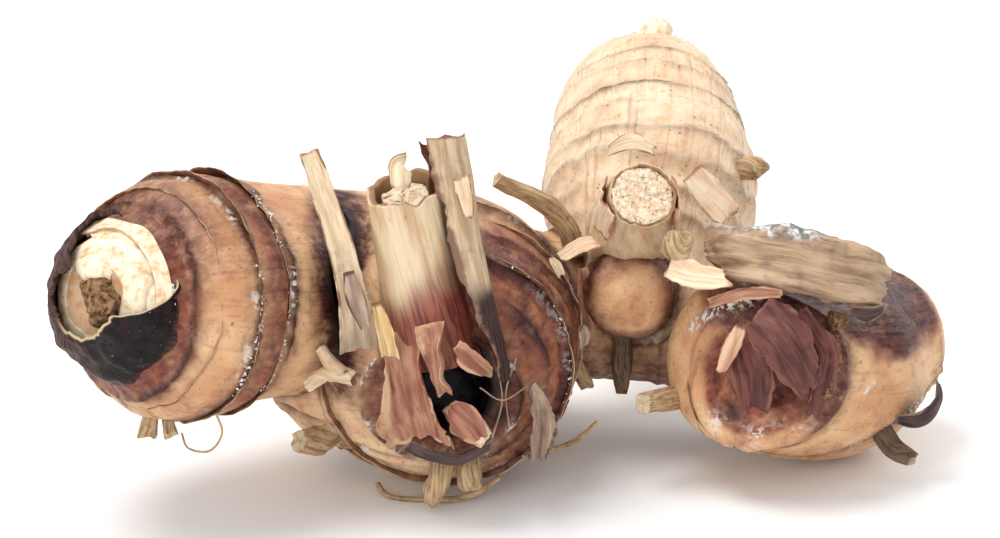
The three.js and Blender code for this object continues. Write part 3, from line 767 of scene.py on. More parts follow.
class Skin:
    """The rhizome's fine mesh: where its points lie on the fingers, and what is raised or painted."""

    def __init__(self, obj):
        count = len(obj.data.vertices)
        flat = np.empty(count * 3)
        obj.data.vertices.foreach_get("co", flat)
        self.points = flat.reshape(-1, 3) / MM + MIDDLE_OF_BASE
        obj.data.vertex_normals.foreach_get("vector", flat)
        self.normals = flat.reshape(-1, 3).copy()
        self.height = np.zeros(count)
        self.paint = {name: np.zeros(count) for name in ("Ring", "Purple", "Cream", "Red", "Dark", "Mould")}
        places = {name: finger_place(finger, self.points) for name, finger in FINGERS.items()}
        gaps = np.stack([np.abs(places[name][2]) for name in FINGERS])
        self.own = gaps.argmin(axis=0)
        self.crease = ramp(np.sort(gaps, axis=0)[1], 0.1, 1.6)
        self.places = places
        self.lengths = {name: length_of(finger[0], 60) for name, finger in FINGERS.items()}

    def on(self, name):
        return self.own == list(FINGERS).index(name)

    def add(self, layer, values):
        self.paint[layer] = np.maximum(self.paint[layer], values)

    def near(self, route):
        """Distance of every point from the curve through route."""
        path = along_curve(route, np.linspace(0, 1, 40))
        return np.min([np.linalg.norm(self.points - place, axis=1) for place in path], axis=0)

    def crack(self, route, seed=1):
        """A dark groove along a route over the skin, with a raised edge."""
        away = self.near(route) + 0.25 * noise(self.points, 2, seed)
        self.height += 0.45 * bump(away - 1.2, 0.6) - 0.6 * bump(away, 0.6)
        self.add("Ring", bump(away, 0.5))
        self.add("Purple", 0.5 * bump(away, 1.8))
        self.add("Mould", bump(away, 0.9) * ramp(noise(self.points, 3.5, seed + 1), 0.15, 0.4))

    def ring(
        self, name, at, ridge=0.5, stain=0.5, before=1.5, after=2.5, line=0.45, dark=1.0, mould=0.0,
        side=None, seed=1,
    ):
        """A leaf scar round a finger: a ridge with a dark line, stained skin each side, a groove.

        side is the angle in degrees where it shows, if it doesn't go all round.
        """
        s, angle, _ = self.places[name]
        circle = np.stack([np.cos(angle), np.sin(angle), 0 * angle], axis=1) * 16
        away = (s - at) * self.lengths[name] + 0.7 * noise(circle, 9, seed)
        away = away + 0.3 * noise(circle, 2.5, seed + 1)
        strength = (0.65 + 0.5 * noise(circle, 7, seed + 2)) * self.on(name)
        if side is not None:
            strength = strength * ramp(np.cos(angle - math.radians(side)), -0.2, 0.35)
        self.height += strength * ridge * (bump(away, 0.5) - 0.7 * bump(away - 1.3, 0.7))
        self.add("Ring", dark * np.clip(strength * 1.3, 0, 1) * bump(away, line))
        spread = np.where(away < 0, before, after) * (1 + 0.6 * noise(circle, 5, seed + 3))
        self.add("Purple", stain * strength * bump(away, spread))
        patchy = ramp(noise(circle, 3, seed + 4), 0.1, 0.45)
        self.add("Mould", mould * (strength > 0.2) * bump(away - 0.4, 0.8) * patchy)

    def place_back(self, obj):
        """Moves the mesh out by the height, keeps it above the table and stores what was painted."""
        moved = self.points + self.normals * self.height[:, None]
        moved[:, 2] = np.maximum(moved[:, 2], 0)
        obj.data.vertices.foreach_set("co", ((moved - MIDDLE_OF_BASE) * MM).ravel())
        for name, values in self.paint.items():
            paint(obj, name, np.clip(values, 0, 1))
        grain = np.zeros((len(self.points), 3))
        for number, name in enumerate(FINGERS):
            s, angle, _ = self.places[name]
            here = self.on(name)
            grain[here, 0] = angle[here] * 16
            grain[here, 1] = s[here] * self.lengths[name]
            grain[here, 2] = number * 40
        bud = self.on("bud")
        grain[bud] = self.points[bud] * 1.5
        paint(obj, "Grain", grain)
        obj.data.update()


def mark_left(skin):
    """The left finger: three torn scale rings, wet wrinkled skin and the cream zone round the bud."""
    s, angle, _ = skin.places["left"]
    here = skin.on("left") * 1.0
    skin.ring("left", 0.4, ridge=0.6, stain=0.8, before=1.2, after=2.6, mould=1, seed=11)
    skin.ring("left", 0.6, ridge=0.6, stain=0.8, before=2.2, after=1.6, mould=0.6, seed=21)
    skin.ring("left", 0.8, ridge=0.7, stain=0.9, before=2.6, after=1.6, seed=31)
    skin.ring("left", 1.13, ridge=0.4, stain=0.6, before=3.0, after=0.8, mould=0.6, seed=41)
    for number, at in enumerate((1.24, 1.34, 1.45)):
        skin.ring(
            "left", at, ridge=0.3, stain=0.1, before=0.6, after=0.6, line=0.25, dark=0.5, seed=51 + number
        )
    lower_right = np.cos(angle - math.radians(140))
    wet = here * ramp(s, 0.76, 0.82) * ramp(s, 1.17, 1.1) * (0.8 + 0.2 * ramp(lower_right, -0.5, 0.2))
    skin.add("Red", wet * (1.0 + 0.3 * noise(skin.points, 5, 61)))
    skin.add("Purple", wet * ramp(noise(skin.points, 6, 66), -0.5, 0.5) * 0.5)
    folds = noise(np.stack([angle * 22, s * 14, 0 * s], axis=1), 2.4, 62)
    skin.height += wet * (0.4 * np.abs(folds) + 0.22 * noise(skin.points, 1.5, 63))
    skin.add("Cream", here * ramp(s, 1.1, 1.17) * (0.9 + 0.2 * noise(skin.points, 4, 64)))
    stain = here * bump((s - 0.5) * 8, 0.6) * ramp(np.cos(angle - math.radians(70)), 0.1, 0.7)
    skin.add("Purple", stain * (0.9 + 0.6 * noise(skin.points, 5, 65)))
    skin.add("Red", here * bump((s - 0.5) * 8, 0.8) * 0.9)
    # Painted shade: the underside of the finger between the second ring and the cream zone is painted darker
    # purple.
    skin.add("Purple", here * ramp(s, 0.6, 0.9) * ramp(s, 1.1, 1.0) * ramp(-np.cos(angle), 0.1, 0.9) * 0.6)
    top = here * ramp(s, 0.55, 0.8) * ramp(np.cos(angle), 0.1, 0.9)
    skin.add("Red", top * 0.8)
    skin.add("Purple", top * 0.7)
    skin.height += 0.7 * here * bump((s - 0.69) * 8, 0.6) + 0.6 * here * bump((s - 0.5) * 8, 0.5)


def mark_middle(skin):
    """The middle finger: rings round the stalk, ribs and stains on the right, and a crack low down."""
    s, angle, _ = skin.places["middle"]
    here = skin.on("middle") * 1.0
    for number, at in enumerate((0.62, 0.86, 1.05, 1.26, 1.5)):
        skin.ring(
            "middle", at, ridge=0.7, stain=0.9, before=2.4, after=2.4, mould=0.25, side=75,
            seed=100 + 10 * number,
        )
    right = ramp(np.cos(angle - math.radians(80)), -0.1, 0.5)
    comb = here * right * bump((s - 1.42) * 6, 0.6)
    skin.height += comb * 0.35 * noise(np.stack([angle * 30, s * 3, 0 * s], axis=1), 0.9, 151)
    skin.add("Red", here * right * ramp(s, 0.5, 0.9) * 0.85)
    skin.add("Purple", here * right * bump((s - 1.24) * 6, 0.7) * 1.3)
    skin.add("Purple", here * right * bump((s - 0.95) * 6, 0.5) * 0.9)
    # Painted light: the lower-left side is painted paler, as light bounced up from the table.
    lower = ramp(np.cos(angle - math.radians(215)), 0.2, 0.7)
    skin.add("Cream", here * lower * ramp(s, 0.5, 0.8) * 0.3)
    skin.crack(
        [[-34, -5, 12.9], [-30.8, -9.5, 12.5], [-22.9, -13.3, 9.8], [-18.3, -15.4, 8.4], [-11.4, -17.4, 8]],
        161,
    )


def mark_torn(skin):
    """The torn places: the hollow and the skin round it, the crevice beside the stalk and the scar, with
    painted shade in the hollow and the crevice.
    """
    rough = rough_noise(skin.points, 4, 201)
    bed = in_ball(skin.points, BED) + 0.06 * noise(skin.points, 6, 205)
    torn_bed = ramp(bed, 1.05, 0.92)
    skin.height += torn_bed * (0.5 * rough - 0.5) + 0.6 * bump(bed - 1.06, 0.05)
    skin.add("Red", torn_bed * 0.9)
    skin.add("Purple", ramp(bed, 1.18, 0.95) * (0.75 + 0.35 * rough))
    skin.add("Dark", torn_bed * ramp(rough_noise(skin.points, 3, 208), 0.1, 0.9) * 0.8)
    skin.add("Ring", bump(bed - 1.05, 0.035) * ramp(rough, -0.9, 0.1))
    skin.add("Mould", bump(bed - 1.07, 0.03) * ramp(noise(skin.points, 2.4, 206), 0.1, 0.4))
    # Painted shade: the hollow and the crevice beside the stalk are painted near black, with a purple halo
    # round them.
    hollow = in_ball(skin.points, HOLLOW)
    skin.add("Dark", ramp(hollow + 0.1 * rough, 1.45, 1.05))
    skin.add("Purple", ramp(hollow + 0.2 * rough, 2.1, 1.3) * 0.85)
    crevice = in_ball(skin.points, CREVICE)
    skin.add("Dark", ramp(crevice + 0.15 * rough, 1.7, 1.0))
    skin.add("Purple", ramp(crevice + 0.2 * rough, 2.9, 1.3) * 1.1)
    scar = in_ball(skin.points, SCAR) + 0.07 * noise(skin.points, 7, 202)
    torn = ramp(scar, 0.97, 0.84)
    skin.height += torn * (0.9 * rough + 0.45 * noise(skin.points, 1.3, 203) - 0.4)
    skin.height += 1.1 * bump(scar - 1.14, 0.12)
    skin.add("Red", ramp(scar, 1.03, 0.9))
    skin.add("Purple", torn * ramp(rough, 0.3, -0.8) * 0.9)
    skin.add("Dark", torn * ramp(noise(skin.points * [1, 1, 0.5], 2.5, 209), 0.15, 0.8) * 0.8)
    sap = skin.near([[29.5, -6.4, 25.9], [34.2, -9.7, 29.9], [38.2, -10.5, 31.8]])
    sap = sap + 0.4 * noise(skin.points, 2, 210)
    skin.add("Mould", 1.6 * bump(sap, 0.9))
    skin.height += 0.6 * bump(sap, 0.8)
    low_edge = ramp(skin.points[:, 2], 17, 12) * bump(scar - 0.95, 0.1)
    low_edge = low_edge * ramp(noise(skin.points, 3, 204), -0.2, 0.3)
    skin.add("Mould", low_edge)
    right_side = ramp(skin.points[:, 0], 44, 50)
    broken = ramp(noise(skin.points, 5, 207), -0.5, 0.2)
    skin.add("Purple", bump(scar - 1.15, 0.2) * (0.1 + 0.9 * right_side))
    skin.add("Red", bump(scar - 1.1, 0.16) * right_side)
    skin.add("Ring", bump(scar - 1.36, 0.035) * (1 - right_side) * broken)


def mark_right(skin):
    """The right finger: purple stains on its shoulder, painted shadow under the dried leaf, and a ring low
    on its right.
    """
    skin.crack(
        [[35.9, -13.6, 9.9], [45, -7.9, 5.2], [54.4, -6.3, 5.9], [63.3, -2.2, 10.2], [69.8, 8.5, 12]], 301
    )
    skin.add("Mould", bump(skin.near([[56, -10, 16.4], [57.6, -9, 17.6]]), 0.35))
    skin.ring("right", 1.2, ridge=0.4, stain=0.5, dark=0.6, seed=311)
    stain = in_ball(skin.points, SHOULDER) + 0.3 * noise(skin.points, 7, 321)
    stain = stain + 0.15 * noise(skin.points, 2.6, 322)
    skin.add("Red", skin.on("right") * ramp(stain, 1.4, 0.9))
    skin.add("Purple", 1.2 * skin.on("right") * ramp(stain, 1.35, 0.75))
    skin.add("Dark", 0.25 * skin.on("right") * ramp(stain, 1.1, 0.6))
    # Painted shadow of the dried leaf: the skin under it is painted purple and red.
    under = in_ball(skin.points, ((44, -8, 36), (22, 12, 9))) + 0.2 * noise(skin.points, 5, 323)
    skin.add("Purple", ramp(under, 1.25, 0.8))
    skin.add("Red", ramp(under, 1.35, 0.9) * 0.8)


def mark_rear(skin):
    """The rear finger: young cream skin with fine rings, and the small side bud under the stalk, with
    painted shade round its outline.
    """
    skin.add("Cream", skin.on("rear") * (0.75 + 0.3 * noise(skin.points, 8, 401)))
    rings = (
        (0.12, 0.4), (0.18, 0.3), (0.24, 0.4), (0.31, 0.6), (0.39, 0.2), (0.47, 1.0), (0.58, 0.3),
        (0.7, 0.7), (1.3, 0.4),
    )
    for number, (at, dark) in enumerate(rings):
        skin.ring(
            "rear", at, ridge=0.5, stain=0.45 * dark, before=0.7, after=1.2, line=0.32, dark=0.75 * dark,
            seed=410 + 10 * number,
        )
    bud = skin.on("bud") * 1.0
    skin.height += bud * (0.4 * noise(skin.points, 2.4, 480) + 0.5 * skin.crease)
    # Painted shade: the bud is painted purple and red where it turns away from the front, darkest round its
    # outline.
    rim = bud * ramp(skin.normals[:, 1], -0.75, -0.35)
    skin.add("Purple", rim)
    skin.add("Red", bud * ramp(skin.normals[:, 1], -0.92, -0.6) * 0.6)


def mark_rest(skin):
    """The heel, the bridge and the broken stump, the gentle unevenness of the whole skin, painted shade in
    the creases and under the bridge, and the middle finger's belly, cleared of stains and painted paler as
    painted light.
    """
    skin.ring("heel", 0.7, ridge=0.4, stain=0.1, dark=0.6, mould=0.2, seed=501)
    skin.ring("heel", 1.25, ridge=0.4, stain=0.1, dark=0.6, mould=0.2, seed=511)
    for number, at in enumerate((0.3, 0.5, 0.72)):
        skin.ring("bridge", at, ridge=0.4, stain=0.5, dark=0.7, seed=521 + 10 * number)
    skin.ring("stump", 0.35, seed=561)
    skin.ring("stump", 0.7, seed=571)
    broken = skin.on("stump") * ramp(skin.places["stump"][0], 1.0, 1.1)
    skin.add("Red", broken * 0.7)
    skin.height += broken * 0.8 * rough_noise(skin.points, 2.5, 581)
    skin.height += 0.55 * noise(skin.points, 13, 591) + 0.22 * noise(skin.points, 5, 592)
    skin.height += 0.06 * noise(skin.points, 1.5, 593)
    # Painted shade: the creases where the fingers meet are painted purple.
    skin.add("Purple", (1 - skin.crease) * 0.9)
    # Painted shade: the underside of the bridge is painted purple.
    low = skin.on("bridge") * ramp(skin.normals[:, 2], 0.2, -0.5)
    skin.add("Purple", low * 0.8)
    # Painted light: the middle finger's belly is cleared of stains and painted paler, as light bounced up
    # from the table.
    clean_and_lit = ramp(in_ball(skin.points, BELLY), 1.3, 0.8) * ramp(in_ball(skin.points, BED), 1.15, 1.3)
    skin.add("Cream", 0.35 * clean_and_lit)
    for layer in ("Purple", "Red", "Dark"):
        skin.paint[layer] *= 1 - clean_and_lit


def rhizome(look):
    """The whole rhizome as one fine mesh over the CAD solid."""
    coarse = bpy.data.objects.new("rhizome_coarse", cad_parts["rhizome"].data.copy())
    bpy.context.scene.collection.objects.link(coarse)
    fine = coarse.modifiers.new("fine", "REMESH")
    fine.mode = "VOXEL"
    fine.voxel_size = SKIN_GRID * MM
    soft = coarse.modifiers.new("soft", "SMOOTH")
    soft.iterations = 30
    shown = coarse.evaluated_get(bpy.context.evaluated_depsgraph_get())
    obj = bpy.data.objects.new("rhizome_fine", bpy.data.meshes.new_from_object(shown))
    bpy.context.scene.collection.objects.link(obj)
    bpy.data.objects.remove(coarse)
    obj.data.polygons.foreach_set("use_smooth", [True] * len(obj.data.polygons))
    skin = Skin(obj)
    for mark in (mark_left, mark_middle, mark_torn, mark_right, mark_rear, mark_rest):
        mark(skin)
    skin.place_back(obj)
    keep(obj, look, "rhizome_skin", "rhizome")


# --- the finger's own pieces --------------------------------------------------------------------

BROWN = "brown_scale"
DRY = "dry_leaf"
CREAM = "cream_flesh"
FIBRE = "root_fibre"


def scale_rims(looks):
    """The torn rims of old leaf scales round the left and middle fingers."""
    rims = (
        ("left_scale_outer", LEFT, 0.40, 0.8, (-178, 178)),
        ("left_scale_middle", LEFT, 0.59, 0.9, (-178, 178)),
        ("left_scale_inner", LEFT, 0.79, 0.8, (-178, 178)),
        ("middle_scale_outer", MIDDLE, 0.85, 0.8, (20, 300)),
        ("middle_scale_inner", MIDDLE, 1.255, 0.8, (20, 300)),
    )
    for number, (name, finger, at, reach, angle) in enumerate(rims):
        rim = skin_patch(
            name, finger, (at - 0.015, at + 0.03), angle, (-0.35, reach), 0.22,
            rows=9, columns=340, torn=0.013, wrinkle=0.25, taper=0.3, seed=600 + 10 * number,
        )
        keep(rim, looks["rim"], BROWN, name)


def left_bud(looks):
    """The left finger's dark wrap, its cream scales, the bud and its corky middle."""
    rows, columns = 70, 200
    wrap = skin_patch(
        "left_bud_wrap", LEFT, (1.0, 1.74), (66, 350), (0.1, 3.6), 0.8,
        rows=rows, columns=columns, torn=0.03, wrinkle=0.8, taper=0.7, seed=640,
    )
    share = np.tile(np.repeat(np.linspace(0, 1, rows), columns), 2)
    turn = np.tile(np.tile(np.linspace(0, 1, columns), rows), 2)
    paint(wrap, "Wet", ramp(share, 0.0, 0.2) * ramp(turn, 0.5, 0.3))
    paint(wrap, "Lip", ramp(share, 0.97, 0.99) * ramp(turn, 0.6, 0.4))
    keep(wrap, looks["wrap"], "dark_scale", "left_bud_wrap")
    for number, (low, high, turns) in enumerate(((1.16, 1.4, (-60, 130)), (1.3, 1.62, (-40, 112)))):
        scale = skin_patch(
            f"left_bud_scale_{number}", LEFT, (low, high), turns, (0.0, 0.9), 0.5,
            rows=40, columns=160, torn=0.01, wrinkle=0.3, taper=0.5, seed=650 + number,
        )
        keep(scale, looks["bud"], CREAM, "left_bud_scale")
    centre, _, side, across = section(LEFT, [1.0], [0.0])
    tip, _, _, _ = section(LEFT, [2.0], [0.0])
    along = unit(tip - centre)[0]
    tip = tip[0]
    up = side[0]
    right = across[0]
    stations = [[*(tip - along * 1.6), 9.4], [*(tip - along * 0.2), 8.6], [*(tip + along * 1.0), 5.6]]
    keep(tube("left_bud", stations, lumps=0.5, torn=0.2, seed=660), looks["bud"], CREAM, "left_bud")
    bean = [
        [*(tip + up * 4 - right * 3.4), 1.7], [*(tip + up * 3.8 + along), 2.3],
        [*(tip + up * 3.4 + right * 2.6), 1.2],
    ]
    keep(tube("left_bud_bean", bean, lumps=0.3, torn=0.2, seed=664), looks["bud"], CREAM)
    low = tip + right * 2.0 + up * 0.2
    for number, (aside, below, reach) in enumerate(((-0.6, 0, 2.6), (1.9, 0.5, 2.0), (0.4, 1.7, 2.2))):
        base = low + right * aside - up * below
        stations = [
            [*(base - along * 0.6), reach], [*(base + along * 2.0), reach],
            [*(base + along * 3.4), reach * 0.7],
        ]
        plug = tube(
            f"left_bud_plug_{number}", stations, lumps=1.3, ribs=0.5, torn=1.4, columns=44,
            seed=670 + number,
        )
        keep(plug, looks["cork"], FIBRE, "left_bud_plug")


def darken_foot(obj, high, low, size, seed, lean=0.0, share=1.0):
    """Paints the foot of a stalk or sheath darker, from height high down to low. lean tilts its edge."""
    places = places_of(obj)
    height = places[:, 2] - lean * places[:, 0] + size * noise(places, 4, seed)
    paint(obj, "Base", share * ramp(height, high, low))


def stalks(looks):
    """The two cut leaf stalks: the middle one's sheath, core and curl, and the centre one."""
    outside = [
        [-9.6, -16.5, 25, 7.4], [-10.8, -17, 32, 6.8], [-13, -16.6, 44, 6.1], [-14.4, -16, 52.8, 5.7],
    ]
    sheath = grow(
        tube, looks["stalk"], CREAM, "middle_stalk_sheath", outside, rows=110, columns=96, ribs=0.1,
        rib_gap=0.9, lumps=0.35, torn=0.9, bore=(0.8, 5.5), squash=0.92, slant=3.6, seed=700,
    )
    darken_foot(sheath, 47, 39, 2.5, 704, lean=0.6)
    grow(
        tube, looks["cut"], CREAM, "middle_stalk_core",
        [[-13.4, -16.5, 45.6, 3.9], [-14.2, -16.2, 51.4, 3.6]], rows=30, columns=64, ribs=0.2,
        lumps=0.35, torn=0.7, slant=3.0, seed=710,
    )
    grow(
        sheet, looks["straw"], DRY, "middle_stalk_curl",
        [[-14.6, -22.4, 52.6], [-14.6, -21, 55.2], [-14.2, -18.4, 56]], [3, 3.6, 2.6], (0, 1, 0.3),
        curls=(1.6, 2.2, 1.4), crumple=0.35, ragged=(0.2, 1), seed=720, rows=50,
    )
    centre = [[20.6, 10, 36.4, 7.4], [21.2, 3, 41.3, 6.0], [21.8, -3.4, 46.0, 5.1]]
    grow(
        tube, looks["stalk"], CREAM, "centre_stalk", centre, facing=UP, rows=90, columns=96, ribs=0.22,
        rib_gap=0.8, lumps=0.3, torn=0.9, bore=(0.9, 0.9), seed=730,
    )
    grow(
        tube, looks["cut"], CREAM, "centre_stalk_face", [[21.4, 0, 43.5, 4.9], [21.8, -3.2, 45.9, 4.7]],
        facing=UP, rows=24, columns=72, ribs=0.2, lumps=0.5, torn=0.5, seed=740,
    )
    grow(
        sheet, looks["pale"], CREAM, "centre_stalk_sheath",
        [[27.4, 2.5, 41.2], [27.5, -1.6, 44.2], [27.4, -4.6, 46.6]], [6, 8, 7.4], (-1, 0, -0.1),
        curls=(1.2, 1.5, 1.6), crumple=0.3, ragged=(0.3, 0.8), seed=750,
    )
    grow(
        sheet, looks["pale"], CREAM, "centre_stalk_cuff",
        [[15.2, 1.5, 39.8], [15.0, -1.5, 43.4], [15.4, -4.2, 46.2]], [8, 8.6, 8], (1, 0, 0.1),
        curls=(1.4, 1.7, 1.9), ribs=0.3, crumple=0.5, ragged=(0.3, 1.2), seed=755,
    )


def middle_sheaths(looks):
    """The dry strips and rolled sheaths standing round the middle stalk, and the fibres beside them."""
    strip = [
        [-28.4, -15, 56.2], [-26.3, -17, 50.8], [-23.6, -20, 43.2], [-21.7, -22, 35.3],
        [-20.4, -23.8, 27.2],
    ]
    strip = grow(
        sheet, looks["straw"], DRY, "left_strip", strip, [3, 3.8, 4.2, 4.8, 6.6], (0.2, -1, 0.3),
        curls=(1.8, 1.3, 1.0), ragged=(0.2, 0.9), seed=800, rows=150,
    )
    darken_foot(strip, 36, 27, 3, 801, share=0.55)
    grow(
        sheet, looks["grey"], DRY, "left_strip_tongue",
        [[-22.3, -22.8, 40.2], [-21, -24.8, 36], [-19.6, -26, 32]], [1.6, 2.8, 1.2], (0.2, -1, 0.3),
        curls=(0.8,), ragged=(0.2, 0.8), seed=810, rows=60,
    )
    grow(
        sheet, looks["yellow"], DRY, "left_strip_inner",
        [[-18.4, -22.8, 35.4], [-17, -25.2, 31], [-16.2, -25.4, 26.6]], [1.6, 2.8, 3], (0.1, -1, 0.2),
        curls=(1.2,), ribs=0.2, ragged=(0.3, 1.4), seed=820, rows=60,
    )
    tall = [
        [-5.6, -13, 58.4], [-4.3, -15.5, 51.6], [-2.8, -19, 43.4], [-1.2, -21.6, 35], [0.4, -22.6, 29.2],
        [1.4, -22.9, 23],
    ]
    tall = grow(
        sheet, looks["tall"], DRY, "tall_sheath", tall, [17, 16, 13.5, 11, 9, 7], (-1, -0.15, 0.1),
        curls=(5.2, 5, 4.2, 3, 2.2, 1.6), ribs=0.1, ragged=(0.7, 1.5), crumple=0.3, seed=830, rows=150,
        columns=56,
    )
    darken_foot(tall, 40, 34, 4, 831)
    grow(
        sheet, looks["straw"], DRY, "tall_sheath_fold",
        [[-5.6, -20.4, 54], [-4.9, -21.4, 51], [-4.2, -22.6, 47.6]], [3, 2.6, 1.6], (-0.35, -1, 0.1),
        curls=(1.4,), ragged=(0.5, 1), seed=840, rows=60,
    )
    prongs = (
        [[-28.7, -20.5, 21.4, 1.0], [-25.4, -21.6, 23.5, 1.2], [-20.6, -23, 22.9, 0.8]],
        [[-26.6, -20, 27.2, 1.0], [-25.1, -21.4, 25.2, 1.0], [-22.6, -22.8, 23.4, 0.9]],
    )
    for number, route in enumerate(prongs):
        prong = tube(
            f"forked_fibre_{number}", route, ribs=0.3, rib_gap=0.6, lumps=0.35, torn=1.4, seed=850 + number
        )
        keep(prong, looks["straw"], DRY, "forked_fibre")
    threads = (
        [[-0.4, -23.5, 25.4, 0.14], [0.3, -24, 20.1, 0.12], [-1.2, -24, 14.2, 0.14]],
        [[2.4, -23, 26.5, 0.12], [0.9, -24, 21.6, 0.1], [1.4, -23.5, 15.8, 0.12]],
        [[-3, -24.6, 22.5, 0.12], [0.4, -24.8, 20.6, 0.1], [4.2, -23.4, 22.4, 0.12]],
    )
    for number, route in enumerate(threads):
        grow(
            tube, looks["grey"], DRY, f"web_thread_{number}", route, ribs=0.02, lumps=0.04, torn=0.1,
            columns=10, seed=860 + number,
        )


def flaps(looks, slot, seed, parts, **texture):
    """Torn sheets of one kind. A part gives a look, a name, a route, widths, facing and curls."""
    for number, (look, name, *shape) in enumerate(parts):
        grow(sheet, looks[look], slot, name, *shape, seed=seed + 20 * number, **texture)


def torn_hollow(looks):
    """Torn leaf bases round the middle finger's hollow."""
    wide = [[-14, -22.6, 31], [-13.2, -25.4, 25], [-11.8, -25.4, 18.4], [-10.4, -23.4, 13.6]]
    folded = [[-10, -26.2, 33.4], [-9, -28, 28], [-8, -26.4, 21.4]]
    lip = [[-6.6, -26.4, 29.8], [-4.4, -27, 28], [-1, -25.6, 24.2]]
    red = [[-7, -25.6, 20.4], [-5, -26.6, 18.4], [-2.6, -24.8, 14.4]]
    pale = [[-7.6, -23.6, 19.4], [-4.8, -23.8, 16.4], [-1.6, -22.4, 13.2]]
    pad = [[-14.4, -22, 12.4], [-10.5, -22.4, 10.9], [-5.3, -21.8, 10.5], [-0.6, -19.6, 11.6]]
    ribbon = [[4, -23.6, 23.4], [5.6, -21.6, 19], [6.6, -18.6, 14], [5.4, -15, 6]]
    parts = (
        ("rust", "torn_base_wide", wide, [3.5, 7.5, 10, 10.5], (-0.3, -1, 0), (1.4, 1.6, 1.0)),
        ("rust", "torn_base_folded", folded, [3, 4.2, 3], (-0.5, -1, 0), (1.6, 2.2, 1.4)),
        ("rust", "torn_base_lip", lip, [1.6, 3, 1.2], (0, -1, 0.4), (0.9,)),
        ("red", "torn_base_red", red, [2, 4.8, 2.2], (0.2, -1, 0), (0.6,)),
        ("pale", "torn_base_pale", pale, [2.4, 4, 2.6], (0.1, -1, -0.2), (0.3,)),
        ("black", "torn_base_pad", pad, [2, 3, 3, 2], (0, -1, -0.6), (0.3,)),
        ("grey", "hanging_ribbon", ribbon, [2, 3.6, 3.8, 2.4], (0.6, -1, 0), (0.9,)),
    )
    flaps(
        looks, BROWN, 900, parts, ribs=0.24, crumple=1.7, ragged=(0.3, 1.2), torn_sides=0.15, thickness=0.28,
        rows=76, columns=40,
    )


def centre_pieces(looks):
    """Bract, membranes and sheaths between the middle and rear fingers."""
    bract = [[16.6, 5.6, 50.2], [20.3, 4.4, 52], [24.2, 4.6, 50.6]]
    pleated = [[29.6, 9, 46], [32.4, 8.4, 42.6], [36.4, 7.6, 38.6]]
    membrane = [[9.4, 0.8, 34.6], [12.6, 4, 35.6], [16.4, 4.6, 36]]
    fold = [[13, 5.6, 31.6], [13.6, 3.6, 26.6], [14.8, 3.4, 21.6]]
    upper = [[8, -6.6, 37.2], [9, -7, 35.4], [9.8, -7.6, 33.6]]
    lower = [[12.6, -9, 27], [12.9, -9.4, 25], [12.6, -9.6, 23]]
    parts = (
        ("straw", "centre_bract", bract, [1.6, 4, 2], (0, -0.6, 1), (0.8,)),
        ("pale", "pleated_sheath", pleated, [4.4, 6.4, 5], (0.5, -1, 0.6), (1,)),
        ("pale", "centre_membrane", membrane, [1.6, 3, 2], (0, -0.6, 1), (0.6,)),
        ("rust", "centre_fold", fold, [1.6, 3.4, 1.4], (-0.6, -1, 0), (0.5,)),
        ("straw", "flake_upper", upper, [1.2, 2.4, 1], (1, -0.6, 0.4), (0.5,)),
        ("grey", "flake_lower", lower, [2, 3.2, 1.8], (1, -0.6, 0), (0.3,)),
    )
    flaps(
        looks, DRY, 1100, parts, ribs=0.1, crumple=0.5, ragged=(0.4, 0.8), torn_sides=0.1, rows=70,
        columns=36,
    )


def dried_leaf(looks):
    """The dried leaf lying over the right finger, with its torn lower part and gathered end."""
    route = [
        [30.6, -6.5, 38.6], [34, -9, 39.6], [39.2, -12.5, 40], [45.1, -14, 39.6],
        [50.4, -13.6, 38.2], [55.4, -11.4, 36.6], [60.2, -6.6, 33.6],
    ]
    leaf = grow(
        sheet, looks["leaf"], DRY, "dry_leaf", route, [5, 9.5, 12.6, 13.6, 13.6, 13, 7.5], (0, 1, -0.7),
        curls=(1.9, 2.0, 2.1, 2.0, 2.2, 2.6), ribs=0.9, rib_gap=2.1, crumple=0.9, thickness=0.4,
        ragged=(0.8, 2.2), torn_sides=0.03, seed=1300, rows=160, columns=84,
    )
    x, _, z = places_of(leaf).T
    paint(leaf, "Mould", ramp(z, 41.2, 42.6) * ramp(x, 31, 34) * ramp(x, 54, 47))
    grow(
        sheet, looks["pale"], DRY, "dry_leaf_torn",
        [[25.4, -8.8, 36.2], [29, -11, 35.6], [35, -14.8, 36.2]], [3.4, 5, 2.4], (-0.2, -1, 0.4),
        curls=(0.6,), ribs=0.15, crumple=0.6, ragged=(0.6, 1.2), torn_sides=0.15, seed=1310, rows=100,
    )
    grow(
        sheet, looks["black"], DRY, "dry_leaf_underfold",
        [[52.4, -14.2, 31.2], [55.4, -14, 30.6], [58.6, -11.6, 30.8]], [1.4, 3, 1.4], (0, -1, -0.3),
        curls=(1.4,), ragged=(0.3, 0.5), seed=1320, rows=60,
    )
    knob = [[25.4, -6.6, 39.8, 1.7], [27, -7.4, 39.3, 2.4], [28.9, -7.2, 38.6, 1.8]]
    grow(tube, looks["root"], DRY, "dry_leaf_knob", knob, lumps=0.7, ribs=0.3, torn=0.8, seed=1330)


